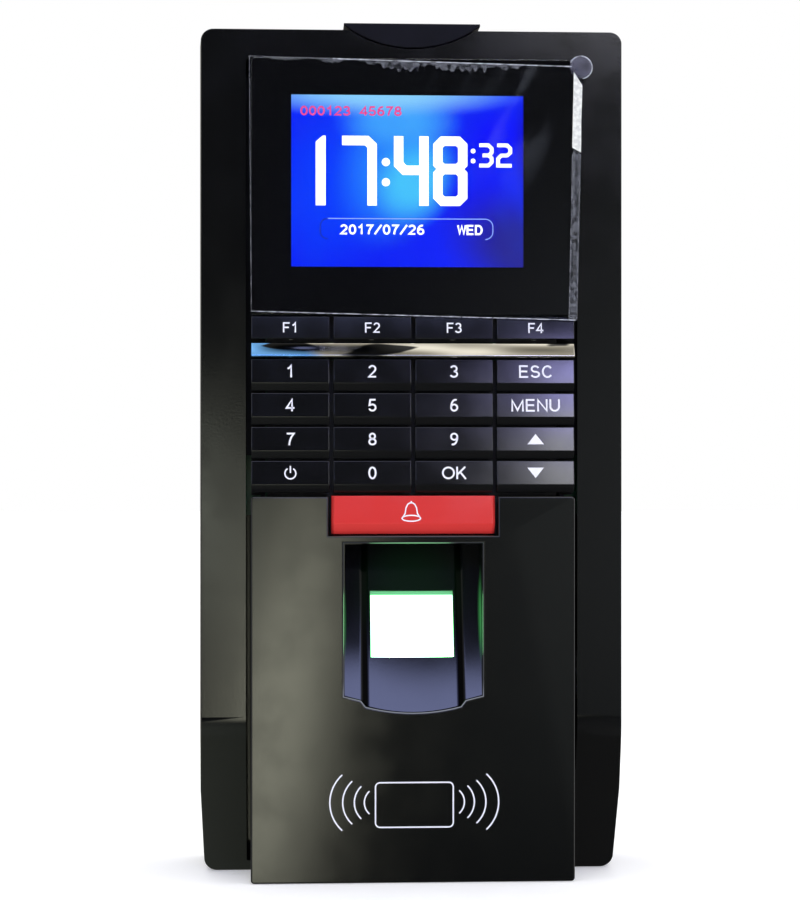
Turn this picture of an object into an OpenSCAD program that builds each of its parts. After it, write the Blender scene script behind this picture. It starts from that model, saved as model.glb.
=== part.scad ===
// Wall-mounted access terminal with a fingerprint sensor, a card reader, a keypad and a colour screen.
// +Z is up, the terminal's front faces -Y and the wall is the plane y = 0.
// A depth is a distance from the wall, and a height is measured from the terminal's lower edge.
// placed() then puts the origin at the middle of the wall plate's screw pattern.

/* [Housing] */
// Width at the parting line
body_w = 91; // [90:0.5:93]
// Height
body_h = 181; // [180.5:0.5:184]
// Depth from the wall to the lens and the lower panel
body_d = 36; // [36:0.5:38]
// How far the wings lie behind the lens and the lower panel
wing_step = 5; // [4.8:0.1:5.2]
// Depth of the parting line between the two shells
part_d = 17; // [16.8:0.1:17.2]
// Wall thickness of the shells
wall = 2.2; // [2:0.1:2.4]
// Height at which the wings bend back
bend_z = 31; // [30:0.5:32]
// Depth of the wings' face at the lower edge
toe_d = 19; // [18.8:0.1:19.2]
// Draft of the sides from the parting line to the wings' face
side_draft = 0.7; // [0.4:0.1:0.9]
// How much narrower each side is at the lower edge
foot_taper = 1; // [0.5:0.1:1.2]

/* [Front] */
// Width of the lens, the key field and the lower panel
front_w = 68.4; // [68:0.1:68.6]
// Gap between the lower panel and the wings
groove = 1.1; // [0.9:0.1:1.2]
// Height of the lower panel
panel_h = 81.3; // [81:0.1:81.4]
// Lower edge of the lens
lens_z = 119.5; // [119.5:0.1:119.8]
// Height of the lens
lens_h = 54; // [53.6:0.1:54.2]
// Thickness of the lens
lens_t = 1.6; // [1.4:0.1:1.8]

/* [Keys] */
// Width of a small key
key_w = 16.4; // [16:0.1:16.6]
// Column pitch of the keys
key_pitch_x = 17.25; // [17.1:0.05:17.3]
// Row pitch of the digit keys
key_pitch_z = 7.13; // [7.05:0.01:7.16]
// Gap between two rows
key_gap = 0.4; // [0.35:0.05:0.5]
// Travel of a key
key_travel = 0.9; // [0.6:0.1:0.9]
// Width of the doorbell key
bell_w = 34.6; // [34:0.1:34.8]

/* [Fingerprint recess] */
// Width of the recess
recess_w = 29; // [28:0.2:29.4]
// Upper edge of the recess
recess_top_z = 71.3; // [71:0.1:71.5]
// Height at which the recess floor meets the front
recess_foot_z = 37.2; // [37:0.1:38]
// Depth of the recess at its upper edge
recess_depth = 11; // [9:0.5:11.5]
// Width of the sensor's window
window_w = 17; // [15:0.5:17.4]

/* [Wall plate] */
// Thickness of the wall plate
plate_t = 1.2; // [1:0.1:1.4]
// Spacing of the wall screws across
screw_dx = 60; // [58:1:62]
// Spacing of the wall screws up and down
screw_dz = 120; // [116:1:122]
// Diameter of the wall screw holes
screw_hole_d = 4.4; // [4:0.1:5]
// Lift that frees the terminal from the hooks
hook_lift = 5; // [4:0.5:5]

/* [Hidden] */
$fn = 64;

// clearances
gap = 0.3;
fit = 0.05;

// housing
mid_z = body_h / 2;
wing_d = body_d - wing_step;
wing_back_d = wing_d - wall;
toe_slope = (wing_d - toe_d) / bend_z;
top_r = 2.6;
foot_r = 2.8;
opening_half = front_w / 2 + groove;
lens_top_z = lens_z + lens_h;

// rear shell: a recess for the wall plate, a wall and the inside
rim_d = 0.3;
recess_floor_d = 4;
back_wall_d = 6;

// wall plate and its hooks
plate_half_w = 41;
plate_half_h = 81.5;
hook_w = 6;
hook_x = 30;
hook_dz = 50;
hook_lip = 4.5;
hook_reach_d = 8;
slot_w = hook_w + 2;
slot_h = plate_t + hook_lift + 2 * gap;
passage_half_w = 18;
passage_half_h = 11;

// locking screw, under the lower edge
tab_z = 2;
tab_half_w = 4;
tab_reach_d = 9;
lock_d = 5.5;
lock_r = 1.5;
lock_head_r = 2.7;
lock_head_h = 1.7;
boss_z = tab_z + plate_t + gap;

// screws that hold the shells and the boards
case_x = 39.7;
case_low_z = 22;
case_high_z = 174.5;
case_screw_r = 1.25;
case_head_r = 2.4;
case_head_h = 2;
post_r = 2.4;
board_screw_r = 0.85;

// boards
board_t = 1.6;
main_back_d = 18.4;
main_front_d = main_back_d + board_t;
main_half_w = 41.5;
main_low_z = 77;
main_high_z = 171;
main_screw_z = [84, 161];

// centre frame
frame_half = front_w / 2 - 0.1;
frame_back_d = 26.5;
lens_back_d = body_d - lens_t;
rail_front_d = 31.2;
rail_in_x = 31.2;
flange_x = 36.9;

// screen
screen_x = -1.2;
screen_z = 147.8;
lcd_w = 60.6;
lcd_h = 43;
lcd_front_d = lens_back_d - 0.4;
lcd_back_d = lcd_front_d - 3.2;

// keypad, from the back: board, domes, mat, caps
keypad_back_d = 27.6;
keypad_front_d = keypad_back_d + board_t;
keypad_half_w = 30.8;
keypad_low_z = 69.5;
keypad_high_z = 121;
dome_r = 2.5;
dome_t = 0.2;
mat_back_d = keypad_front_d + 0.6;
mat_front_d = mat_back_d + 1.3;
stem_r = 2;
stem_back_d = keypad_front_d + dome_t + gap + key_travel;
cap_back_d = mat_front_d + gap + 0.1 + key_travel;
cap_front_d = body_d - 0.2;
row_top_z = 110.2;
key_h = key_pitch_z - key_gap;
key_bevel_h = 1.64;
key_bevel_d = 1.1;
key_tilt = 0.6;
f_key_z = 114.5;
f_key_h = 4.7;
bell_z = 73.35;
bell_h = 8.1;
bell_bevel_h = 2.2;
bell_stem_x = 8;
column_x = [for (i = [0:3]) (i - 1.5) * key_pitch_x];
strip_z = 110.5;
strip_h = 3.2;
strip_crown = 0.9;
keypad_post_x = key_pitch_x;
keypad_post_z = strip_z + strip_h / 2;
tongue_post_x = 25;
tongue_post_z = 71.3;
keypad_screw_r = 0.7;

// fingerprint recess: its floor leans back by recess_angle
recess_run = recess_top_z - recess_foot_z;
recess_angle = atan(recess_depth / recess_run);
recess_length = norm([recess_depth, recess_run]);
panel_t = 2;
panel_back_d = body_d - panel_t;
channel_half = 9.5;
channel_depth = 1;
channel_r = (pow(channel_half, 2) + pow(channel_depth, 2)) / (2 * channel_depth);
shelf_rise = 2.2;
step_half = 11;
step_rise = 1.3;
lip_half = channel_half + 0.5;
lip_drop = 1.3;
lip_r = (pow(lip_half, 2) + pow(lip_drop, 2)) / (2 * lip_drop);
bezel_wall = 1.4;
floor_t = 3;
window_low = 10.6;
window_high = 25.4;
prism_t = 6;

// cover and socket at the upper edge
usb_half_w = 6.55;
usb_back_d = main_front_d + 0.2;
usb_front_d = usb_back_d + 5.7;
usb_low_z = 160;
usb_high_z = 175.9;
usb_skin = 0.4;
scoop_back_d = 19;
scoop_half = 14.5;
scoop_drop = 4.7;
scoop_r = (pow(scoop_half, 2) + pow(scoop_drop, 2)) / (2 * scoop_drop);
scoop_z = body_h - scoop_drop + scoop_r;
scoop_wall = 1.6;
cover_rise = 0.8;

// tamper switch
tamper_x = 30;
tamper_z = 115;
tamper_r = 2;
tamper_tip_back_d = 12;

// ---------- shapes used by many parts ----------

// Origin at the middle of the wall screws
module placed() {
    translate([0, 0, -mid_z]) children();
}

// Block between two x values, two depths and two heights
module block(x, d, z) {
    translate([x[0], -d[1], z[0]])
        cube([x[1] - x[0], d[1] - d[0], z[1] - z[0]]);
}

// Outline drawn in x and height, between two depths
module face_on(d) {
    translate([0, -d[0], 0]) rotate([90, 0, 0]) linear_extrude(d[1] - d[0]) children();
}

// Profile given as [depth, height] points, between two x values
module side_on(x, profile) {
    translate([x[0], 0, 0]) rotate([90, 0, 90]) linear_extrude(x[1] - x[0])
        polygon([for (p = profile) [-p[0], p[1]]]);
}

// Round pin across the depth
module pin(x, z, d, r) {
    translate([x, -d[0], z]) rotate([90, 0, 0]) cylinder(r = r, h = d[1] - d[0]);
}

module both_sides() {
    children();
    mirror([1, 0, 0]) children();
}

// Rectangle with round corners
module round_rect(w, h, r) {
    square([w - 2 * r, h], center = true);
    square([w, h - 2 * r], center = true);
    for (x = [-1, 1], z = [-1, 1])
        translate([x * (w / 2 - r), z * (h / 2 - r)]) circle(r);
}

// Unit normal of a path at point i
function normal_at(path, i) =
    let (v = path[min(i + 1, len(path) - 1)] - path[max(i - 1, 0)]) [v[1], -v[0]] / norm(v);

// Strip of thickness t along a path of [depth, height] points
function strip(path, t) = concat(
    path,
    [for (i = [len(path) - 1:-1:0]) path[i] + t * normal_at(path, i)]
);

// Four screw positions of the two shells
module at_case_screws() {
    for (x = [-case_x, case_x], z = [case_low_z, case_high_z]) translate([x, 0, z]) children();
}

module at_board_screws() {
    for (x = [-case_x, case_x], z = main_screw_z) translate([x, 0, z]) children();
}

module at_keypad_screws() {
    both_sides() {
        translate([keypad_post_x, 0, keypad_post_z]) children();
        translate([tongue_post_x, 0, tongue_post_z]) children();
    }
}

// ---------- housing ----------

// Outline of both shells, drawn in by `inset`
module outline(inset) {
    half = body_w / 2 - inset;
    foot = body_w / 2 - foot_taper - inset;
    top = body_h - inset;
    rt = max(top_r - inset, 0.3);
    rf = max(foot_r - inset, 0.6);
    polygon([
        [-foot + rf, inset], [foot - rf, inset], [foot, inset + rf], [half, bend_z],
        [half, top - rt], [half - rt, top], [-half + rt, top], [-half, top - rt],
        [-half, bend_z], [-foot, inset + rf]
    ]);
    for (x = [-1, 1]) {
        translate([x * (foot - rf), inset + rf]) circle(rf);
        translate([x * (half - rt), top - rt]) circle(rt);
    }
}

// Solid of the front shell, drawn in by `inset`
module front_solid(inset) {
    face_d = wing_d - inset;
    half = body_w / 2 - inset;
    top = body_h - inset;
    start_d = inset > 0 ? part_d - 1 : part_d;
    toe_shift = inset * norm([1, toe_slope]);
    bend = (face_d - toe_d + toe_shift) / toe_slope;
    intersection() {
        face_on([start_d, face_d]) {
            outline(inset);
            translate([-half, top - top_r - 1]) square([2 * half, top_r + 1]);
        }
        linear_extrude(body_h) polygon([
            [-half, -start_d], [half, -start_d],
            [half - side_draft, -face_d], [-half + side_draft, -face_d]
        ]);
        side_on([-half, half], [
            [start_d, inset], [toe_d + toe_slope * inset - toe_shift, inset],
            [face_d, bend], [face_d, top - side_draft], [start_d, top]
        ]);
    }
}

// What rounds an upper corner of the front shell: it leans in with the drafted faces.
// Its axis lies `bite` too far out, so the round crosses the faces instead of just touching them.
module corner_trim() {
    bite = 0.03;
    depth = wing_d - part_d;
    lean_back = asin(side_draft / norm([side_draft, depth, side_draft]));
    lean_in = atan(side_draft / depth);
    axis = top_r - bite;
    reach = 2 * top_r;
    translate([body_w / 2, -part_d, body_h]) rotate([lean_back, 0, -lean_in])
        translate([-axis, 0, -axis]) rotate([90, 0, 0]) difference() {
            translate([0, 0, -1]) cube([reach, reach, depth + 3]);
            translate([0, 0, -2]) cylinder(r = top_r, h = depth + 5);
        }
}

// Space that the round cover fills at the upper edge
module scoop(r, back_d) {
    translate([0, -back_d, scoop_z]) rotate([90, 0, 0]) cylinder(r = r, h = body_d - back_d);
}

module front_shell() color([0.09, 0.09, 0.09]) {
    difference() {
        front_solid(0);
        both_sides() corner_trim();
        difference() {
            front_solid(wall);
            scoop(scoop_r + scoop_wall, scoop_back_d - scoop_wall);
        }
        block([-opening_half, opening_half], [part_d - 1, body_d], [wall, lens_top_z + 0.4]);
        scoop(scoop_r, scoop_back_d);
        block([-usb_half_w - gap, usb_half_w + gap], [usb_back_d - gap, usb_front_d + gap],
            [usb_high_z - 5, body_h]);
        at_case_screws() pin(0, 0, [part_d - 1, 24.8], case_screw_r + fit);
    }
    difference() {
        at_case_screws() pin(0, 0, [part_d, 25], post_r);
        at_case_screws() pin(0, 0, [part_d - 1, 24.8], case_screw_r + fit);
    }
    difference() {
        at_board_screws() pin(0, 0, [main_front_d, wing_back_d], post_r);
        at_board_screws() pin(0, 0, [main_front_d - 1, main_front_d + 5], board_screw_r + fit);
    }
}

module rear_shell() color([0.08, 0.08, 0.08]) {
    slot_top = plate_t + gap;
    difference() {
        union() {
            difference() {
                face_on([rim_d, part_d]) outline(0);
                face_on([back_wall_d, part_d + 1]) outline(wall);
                face_on([-1, recess_floor_d]) outline(wall);
            }
            at_case_screws() pin(0, 0, [recess_floor_d, part_d], post_r + 0.8);
            block([-5, 5], [plate_t + 0.6, tab_reach_d + 0.5], [boss_z, boss_z + 7.5]);
            block([-passage_half_w - 1.5, passage_half_w + 1.5], [back_wall_d - 1, back_wall_d + 1.5],
                [mid_z - passage_half_h - 1.5, mid_z + passage_half_h + 1.5]);
        }
        at_case_screws() pin(0, 0, [0, part_d + 1], case_screw_r + 0.2);
        at_case_screws() pin(0, 0, [0, back_wall_d + gap], case_head_r + 0.2);
        for (x = [-hook_x, hook_x], z = [mid_z - hook_dz, mid_z + hook_dz])
            block([x - slot_w / 2, x + slot_w / 2], [recess_floor_d - 1, back_wall_d + 1],
                [z + slot_top - slot_h, z + slot_top]);
        block([-passage_half_w, passage_half_w], [0, back_wall_d + 2],
            [mid_z - passage_half_h, mid_z + passage_half_h]);
        pin(tamper_x, tamper_z, [0, back_wall_d + 1], tamper_r + gap);
        block([-tab_half_w - 2, tab_half_w + 2], [0, tab_reach_d + 0.5], [-1, boss_z]);
        translate([0, -lock_d, 0]) cylinder(r = lock_r + fit, h = boss_z + 6.5);
        for (i = [0:4]) block([18 + 3.6 * i, 19.4 + 3.6 * i], [8, 15], [-1, wall + 1]);
    }
}

// Frame behind the lens and the keys; its side flanges sit behind the wings
module center_frame() color([0.05, 0.05, 0.05]) {
    difference() {
        union() {
            both_sides() {
                block([rail_in_x + 1.4, frame_half], [frame_back_d, lens_back_d], [lens_z, lens_top_z]);
                block([rail_in_x, frame_half], [frame_back_d, rail_front_d], [panel_h + 0.3, lens_z + 2]);
                block([rail_in_x, rail_in_x + 0.9], [frame_back_d, panel_back_d - 0.4],
                    [keypad_low_z, panel_h + 0.3]);
                block([rail_in_x, frame_half], [rail_front_d - 1, lens_back_d + 0.2],
                    [strip_z + 0.2, strip_z + strip_h - 0.2]);
                block([frame_half - 1, flange_x], [frame_back_d, wing_back_d], [90, lens_top_z - 3]);
            }
            block([-frame_half, frame_half], [lens_back_d - 1.5, lens_back_d], [lens_z, lens_top_z]);
            block([-frame_half, frame_half], [frame_back_d, lens_back_d], [lens_top_z - 1.5, lens_top_z]);
            block([-frame_half, frame_half], [mat_front_d + gap, lens_back_d + 0.2],
                [strip_z + 0.2, strip_z + strip_h - 0.2]);
            block([-rail_in_x, rail_in_x], [mat_front_d + gap, panel_back_d - 0.4],
                [keypad_low_z, bell_z - gap]);
            at_keypad_screws() pin(0, 0, [keypad_front_d, mat_front_d + 1], 1.7);
        }
        block([screen_x - lcd_w / 2 - 0.2, screen_x + lcd_w / 2 + 0.2], [lens_back_d - 2, body_d],
            [screen_z - lcd_h / 2 - 0.2, screen_z + lcd_h / 2 + 0.2]);
        at_keypad_screws() pin(0, 0, [keypad_front_d - 1, mat_front_d + 1], keypad_screw_r + fit);
        bezel_room();
    }
}

// Opening of the fingerprint recess in the lower panel, wider by `grow`
module recess_outline(grow) {
    half = recess_w / 2 + grow;
    polygon([
        [-half, recess_top_z + grow], [half, recess_top_z + grow],
        [half, recess_foot_z + shelf_rise - grow], [step_half, recess_foot_z + step_rise - grow],
        [lip_half, recess_foot_z - grow], [-lip_half, recess_foot_z - grow],
        [-step_half, recess_foot_z + step_rise - grow], [-half, recess_foot_z + shelf_rise - grow]
    ]);
    intersection() {
        translate([0, recess_foot_z - lip_drop + lip_r]) circle(lip_r + grow);
        translate([-lip_half, recess_foot_z - 3]) square([2 * lip_half, 5]);
    }
}

// Depth of the wings' sloping face at height z
function toe_face(z) = toe_d + toe_slope * z;

module lower_panel() color([0.1, 0.1, 0.095]) {
    notch_half = bell_w / 2 + 0.6;
    skirt = 1.8;
    behind = 1.2;
    step_z = wall + 0.2;
    corner = 0.8;
    difference() {
        union() {
            face_on([panel_back_d, body_d])
                translate([0, panel_h / 2]) round_rect(front_w, panel_h, corner);
            both_sides() side_on([front_w / 2 - skirt, front_w / 2], [
                [body_d - 1, corner], [toe_face(corner) + 0.1, corner], [toe_face(step_z) + 0.1, step_z],
                [toe_face(step_z) - behind, step_z], [wing_d - behind, bend_z],
                [wing_d - behind, panel_h - corner], [body_d - 1, panel_h - corner]
            ]);
            side_on([-front_w / 2 + corner, front_w / 2 - corner], [
                [body_d - 1, 0], [toe_face(0) + 0.1, 0], [toe_face(skirt) + 0.1, skirt], [body_d - 1, skirt]
            ]);
        }
        block([-notch_half, notch_half], [panel_back_d - 1, body_d + 1], [bell_z - gap, panel_h + 1]);
        face_on([panel_back_d - 1, body_d + 1]) recess_outline(0.1);
    }
}

module case_screws() color([0.75, 0.75, 0.78]) {
    at_case_screws() difference() {
        union() {
            pin(0, 0, [back_wall_d + gap - case_head_h, back_wall_d + gap], case_head_r);
            pin(0, 0, [back_wall_d, 23.5], case_screw_r);
        }
        cross_slot(back_wall_d + gap - case_head_h, 2.6, 0.6, 1);
    }
}

// Cross recess in a screw head that faces the wall
module cross_slot(d, length, width, depth) {
    block([-length / 2, length / 2], [d - 1, d + depth], [-width / 2, width / 2]);
    block([-width / 2, width / 2], [d - 1, d + depth], [-length / 2, length / 2]);
}

// ---------- wall plate and lock ----------

module wall_plate() color([0.7, 0.71, 0.72]) {
    lip_back_d = hook_reach_d - plate_t;
    difference() {
        block([-plate_half_w, plate_half_w], [0, plate_t], [mid_z - plate_half_h, mid_z + plate_half_h]);
        for (x = [-1, 1], z = [-1, 1])
            pin(x * screw_dx / 2, mid_z + z * screw_dz / 2, [-1, plate_t + 1], screw_hole_d / 2);
        block([-passage_half_w, passage_half_w], [-1, plate_t + 1],
            [mid_z - passage_half_h, mid_z + passage_half_h]);
        pin(tamper_x, tamper_z, [-1, plate_t + 1], tamper_r + 1);
        pin(tamper_x, tamper_z + hook_lift, [-1, plate_t + 1], tamper_r + 1);
        block([tamper_x - tamper_r - 1, tamper_x + tamper_r + 1], [-1, plate_t + 1],
            [tamper_z, tamper_z + hook_lift]);
        for (x = [-hook_x, hook_x], z = [mid_z - hook_dz, mid_z + hook_dz])
            block([x - hook_w / 2 - 0.6, x + hook_w / 2 + 0.6], [-1, plate_t + 1],
                [z + plate_t, z + plate_t + hook_lip + 1.5]);
    }
    for (x = [-hook_x, hook_x], z = [mid_z - hook_dz, mid_z + hook_dz]) {
        block([x - hook_w / 2, x + hook_w / 2], [plate_t - 0.2, hook_reach_d], [z, z + plate_t]);
        block([x - hook_w / 2, x + hook_w / 2], [lip_back_d, hook_reach_d],
            [z, z + plate_t + hook_lip]);
    }
    block([-tab_half_w, tab_half_w], [0, plate_t], [tab_z, mid_z - plate_half_h + 1]);
    difference() {
        block([-tab_half_w, tab_half_w], [0, tab_reach_d], [tab_z, tab_z + plate_t]);
        translate([0, -lock_d, 0]) cylinder(r = lock_r + 0.25, h = boss_z);
    }
}

module lock_screw() color([0.6, 0.6, 0.62]) translate([0, -lock_d, 0]) difference() {
    union() {
        translate([0, 0, tab_z - lock_head_h]) cylinder(r = lock_head_r, h = lock_head_h - fit);
        translate([0, 0, tab_z - 2 * fit]) cylinder(r = lock_r, h = 7.6);
    }
    translate([0, 0, tab_z - lock_head_h - 1]) cylinder(r = 1.1, h = 2, $fn = 6);
}

// ---------- screen ----------

module chrome_trim() color([0.8, 0.8, 0.82]) {
    crown_r = (pow(strip_h / 2, 2) + pow(strip_crown, 2)) / (2 * strip_crown);
    front_d = body_d + 0.5;
    back_d = lens_back_d + 0.2;
    block([-frame_half, frame_half], [back_d, front_d - strip_crown], [strip_z, strip_z + strip_h]);
    intersection() {
        block([-frame_half, frame_half], [back_d, front_d], [strip_z, strip_z + strip_h]);
        translate([-frame_half, -front_d + crown_r, strip_z + strip_h / 2])
            rotate([0, 90, 0]) cylinder(r = crown_r, h = 2 * frame_half);
    }
}

module screen_lens() color([0.02, 0.02, 0.03]) {
    face_on([lens_back_d, body_d])
        translate([0, lens_z + lens_h / 2]) round_rect(2 * frame_half, lens_h, 0.8);
}

// Shipping film, stuck on a little askew, with a round pull tab
module protective_film() color([0.5, 0.55, 0.6, 0.4]) {
    film_d = body_d + 0.05;
    film_t = 0.2;
    tab_r = 2.5;
    face_on([film_d, film_d + film_t]) {
        polygon([
            [-front_w / 2, lens_z + 0.6], [front_w / 2 + 0.5, lens_z - 1.1],
            [front_w / 2 + 1.7, lens_z + 52.6], [-front_w / 2 - 0.6, lens_z + 54.3]
        ]);
        translate([front_w / 2 + 1.2, lens_z + 52.4]) circle(tab_r);
    }
}

// Block as wide and high as the screen module less `inset` all round
module lcd_block(d, inset) {
    block([screen_x - lcd_w / 2 + inset, screen_x + lcd_w / 2 - inset], d,
        [screen_z - lcd_h / 2 + inset, screen_z + lcd_h / 2 - inset]);
}

module lcd_frame() color([0.6, 0.6, 0.6]) difference() {
    lcd_block([lcd_back_d, lcd_front_d], 0);
    lcd_block([lcd_back_d + 0.4, lcd_front_d + 1], 0.5);
}

module lcd_backlight() color([0.95, 0.95, 0.95]) {
    lcd_block([lcd_back_d + 0.45, lcd_back_d + 1.7], 0.55);
}

module lcd_screen() color([0.1, 0.25, 0.8]) {
    lcd_block([lcd_back_d + 1.75, lcd_front_d - 0.05], 0.55);
}

module lcd_ribbon_cable() color([0.75, 0.5, 0.15]) {
    side_on([-14, 10], strip([
        [lcd_back_d - 0.4, 131], [lcd_back_d - 0.4, 124.5], [25, 122.5], [21, 126], [main_front_d, 134]
    ], 0.2));
}

// ---------- keypad ----------

// Stem that reaches through the mat to a dome
module stem(x, z) {
    pin(x, z, [stem_back_d, cap_back_d + 1], stem_r);
}

// Key of the digit field in column c and row r, lower edge bevelled
module digit_key(c, r) {
    top = row_top_z - r * key_pitch_z;
    bottom = top - key_h;
    x = column_x[c];
    side_on([x - key_w / 2, x + key_w / 2], [
        [cap_back_d, top], [cap_back_d, bottom], [cap_front_d - key_bevel_d, bottom],
        [cap_front_d, bottom + key_bevel_h], [cap_front_d - key_tilt, top]
    ]);
    stem(x, (top + bottom) / 2);
}

module function_key(c) {
    x = column_x[c];
    side_on([x - key_w / 2, x + key_w / 2], [
        [cap_back_d, f_key_z + f_key_h], [cap_back_d, f_key_z],
        [cap_front_d, f_key_z], [cap_front_d - key_tilt, f_key_z + f_key_h]
    ]);
    stem(x, f_key_z + f_key_h / 2);
}

module key(c, r) color([0.07, 0.07, 0.075]) {
    digit_key(c, r);
}

module f_key(c) color([0.07, 0.07, 0.075]) {
    function_key(c);
}

module key_bell() color([0.8, 0.2, 0.2]) {
    side_bevel = 0.6;
    half = bell_w / 2;
    intersection() {
        side_on([-half, half], [
            [cap_back_d, bell_z + bell_h], [cap_back_d, bell_z], [body_d - 1.2, bell_z],
            [body_d, bell_z + bell_bevel_h], [body_d - key_tilt, bell_z + bell_h]
        ]);
        translate([0, 0, bell_z]) linear_extrude(bell_h) polygon([
            [-half, -cap_back_d], [half, -cap_back_d], [half, -body_d + side_bevel],
            [half - side_bevel, -body_d], [-half + side_bevel, -body_d], [-half, -body_d + side_bevel]
        ]);
    }
    both_sides() stem(bell_stem_x, bell_z + bell_h / 2);
}

// Every place where a stem meets a dome
module at_domes() {
    for (x = column_x) {
        translate([x, 0, f_key_z + f_key_h / 2]) children();
        for (r = [0:3]) translate([x, 0, row_top_z - r * key_pitch_z - key_h / 2]) children();
    }
    both_sides() translate([bell_stem_x, 0, bell_z + bell_h / 2]) children();
}

module keypad_mat() color([0.12, 0.12, 0.13]) difference() {
    block([-keypad_half_w, keypad_half_w], [mat_back_d, mat_front_d], [keypad_low_z, keypad_high_z - 1]);
    at_domes() pin(0, 0, [mat_back_d - 1, mat_front_d + 1], stem_r + 0.4);
    at_keypad_screws() pin(0, 0, [mat_back_d - 1, mat_front_d + 1], 2);
    bezel_room();
}

module keypad_board() color([0.1, 0.35, 0.2]) difference() {
    block([-keypad_half_w, keypad_half_w], [keypad_back_d, keypad_front_d], [keypad_low_z, keypad_high_z]);
    at_keypad_screws() pin(0, 0, [keypad_back_d - 1, keypad_front_d + 1], keypad_screw_r + 0.2);
    bezel_room();
}

module snap_domes() color([0.8, 0.8, 0.75]) {
    at_domes() pin(0, 0, [keypad_front_d, keypad_front_d + dome_t], dome_r);
}

module keypad_screws() color([0.75, 0.75, 0.78]) {
    at_keypad_screws() difference() {
        union() {
            pin(0, 0, [keypad_back_d - 1, keypad_back_d], 1.6);
            pin(0, 0, [keypad_back_d, mat_front_d + 0.8], keypad_screw_r);
        }
        cross_slot(keypad_back_d - 1, 1.6, 0.4, 0.5);
    }
}

// ---------- fingerprint sensor ----------

// Frame of the recess floor: z runs up the floor, -y points out of it, origin at the floor's foot
module on_floor() {
    translate([0, -body_d, recess_foot_z]) rotate([-recess_angle, 0, 0]) children();
}

// Block in the floor's frame between two x values, two distances below the floor and two lengths
module under_floor(half_w, y, z) {
    translate([-half_w, y[0], z[0]]) cube([2 * half_w, y[1] - y[0], z[1] - z[0]]);
}

// Depth of the recess floor at height z
function floor_face(z) = body_d - recess_depth * (z - recess_foot_z) / recess_run;

// Room that the bezel takes in the keypad behind the lower panel
module bezel_room() {
    half = recess_w / 2 + bezel_wall + gap;
    block([-half, half], [0, body_d], [0, recess_top_z + bezel_wall + gap]);
}

module sensor_bezel() color([0.07, 0.07, 0.09]) {
    half = recess_w / 2;
    low_z = recess_foot_z - 1;
    high_z = recess_top_z + bezel_wall;
    lip_z = recess_foot_z + panel_t * recess_run / recess_depth;
    difference() {
        union() {
            intersection() {
                face_on([panel_back_d, body_d]) recess_outline(0);
                side_on([-half, half], [
                    [panel_back_d, low_z - 3], [body_d, low_z - 3], [body_d, recess_foot_z], [panel_back_d, lip_z]
                ]);
            }
            difference() {
                side_on([-half - bezel_wall, half + bezel_wall], [
                    [panel_back_d, low_z], [panel_back_d, high_z],
                    [floor_face(high_z) - floor_t, high_z], [floor_face(low_z) - floor_t, low_z]
                ]);
                side_on([-half, half], [
                    [floor_face(recess_top_z), recess_top_z], [body_d, recess_top_z], [body_d, recess_foot_z]
                ]);
            }
        }
        on_floor() translate([0, channel_depth - channel_r, -4])
            cylinder(r = channel_r, h = recess_length + 3);
        on_floor() under_floor(window_w / 2 + 0.1, [-1, prism_t], [window_low - 0.1, window_high + 0.1]);
    }
}

module sensor_prism() color([0.6, 1, 0.7]) on_floor() {
    under_floor(window_w / 2, [channel_depth - 0.1, prism_t], [window_low, window_high]);
}

module sensor_body() color([0.1, 0.1, 0.1]) on_floor() difference() {
    under_floor(10.5, [floor_t + 0.6, 13], [window_low - 2.5, window_high + 2.5]);
    under_floor(window_w / 2 + 0.1, [0, prism_t + 0.1], [window_low - 0.1, window_high + 0.1]);
}

module sensor_board() color([0.1, 0.35, 0.2]) on_floor() {
    under_floor(10, [13.1, 14.3], [window_low - 5, window_high + 4]);
}

module sensor_cable() color([0.85, 0.85, 0.85]) {
    side_on([-4, 4], strip([[12, 56], [12, 66], [16.5, 76], [main_back_d - 0.8, 83]], 0.4));
}

// ---------- card reader ----------

module card_reader_board() color([0.1, 0.35, 0.2]) {
    block([-30, 30], [panel_back_d - 1.8, panel_back_d - 0.8], [4, 33]);
}

module card_reader_coil() color([0.8, 0.5, 0.25]) {
    turns = 4;
    pitch = 1.4;
    for (i = [0:turns - 1]) face_on([panel_back_d - 0.8, panel_back_d - 0.6])
        translate([0, 18.5]) difference() {
            square([56 - 2 * pitch * i, 26 - 2 * pitch * i], center = true);
            square([56 - 2 * pitch * i - 1.2, 26 - 2 * pitch * i - 1.2], center = true);
        }
}

// ---------- main board ----------

module main_board() color([0.08, 0.3, 0.16]) difference() {
    block([-main_half_w, main_half_w], [main_back_d, main_front_d], [main_low_z, main_high_z]);
    at_board_screws() pin(0, 0, [main_back_d - 1, main_front_d + 1], board_screw_r + 0.4);
}

module board_screws() color([0.75, 0.75, 0.78]) {
    at_board_screws() difference() {
        union() {
            pin(0, 0, [main_back_d - 1.4, main_back_d], 2);
            pin(0, 0, [main_back_d, main_front_d + 4.5], board_screw_r);
        }
        cross_slot(main_back_d - 1.4, 2, 0.5, 0.7);
    }
}

// Chips as [x, height, width, length] on the board's back
chips = [
    [-8, 120, 14, 14], [12, 118, 10, 8], [-10, 142, 12, 8], [10, 150, 7, 7], [34, 100, 5, 6], [-34, 96, 6, 5]
];

module board_chips() color([0.05, 0.05, 0.05]) {
    for (c = chips)
        block([c[0] - c[2] / 2, c[0] + c[2] / 2], [main_back_d - 1.2, main_back_d],
            [c[1] - c[3] / 2, c[1] + c[3] / 2]);
}

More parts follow.
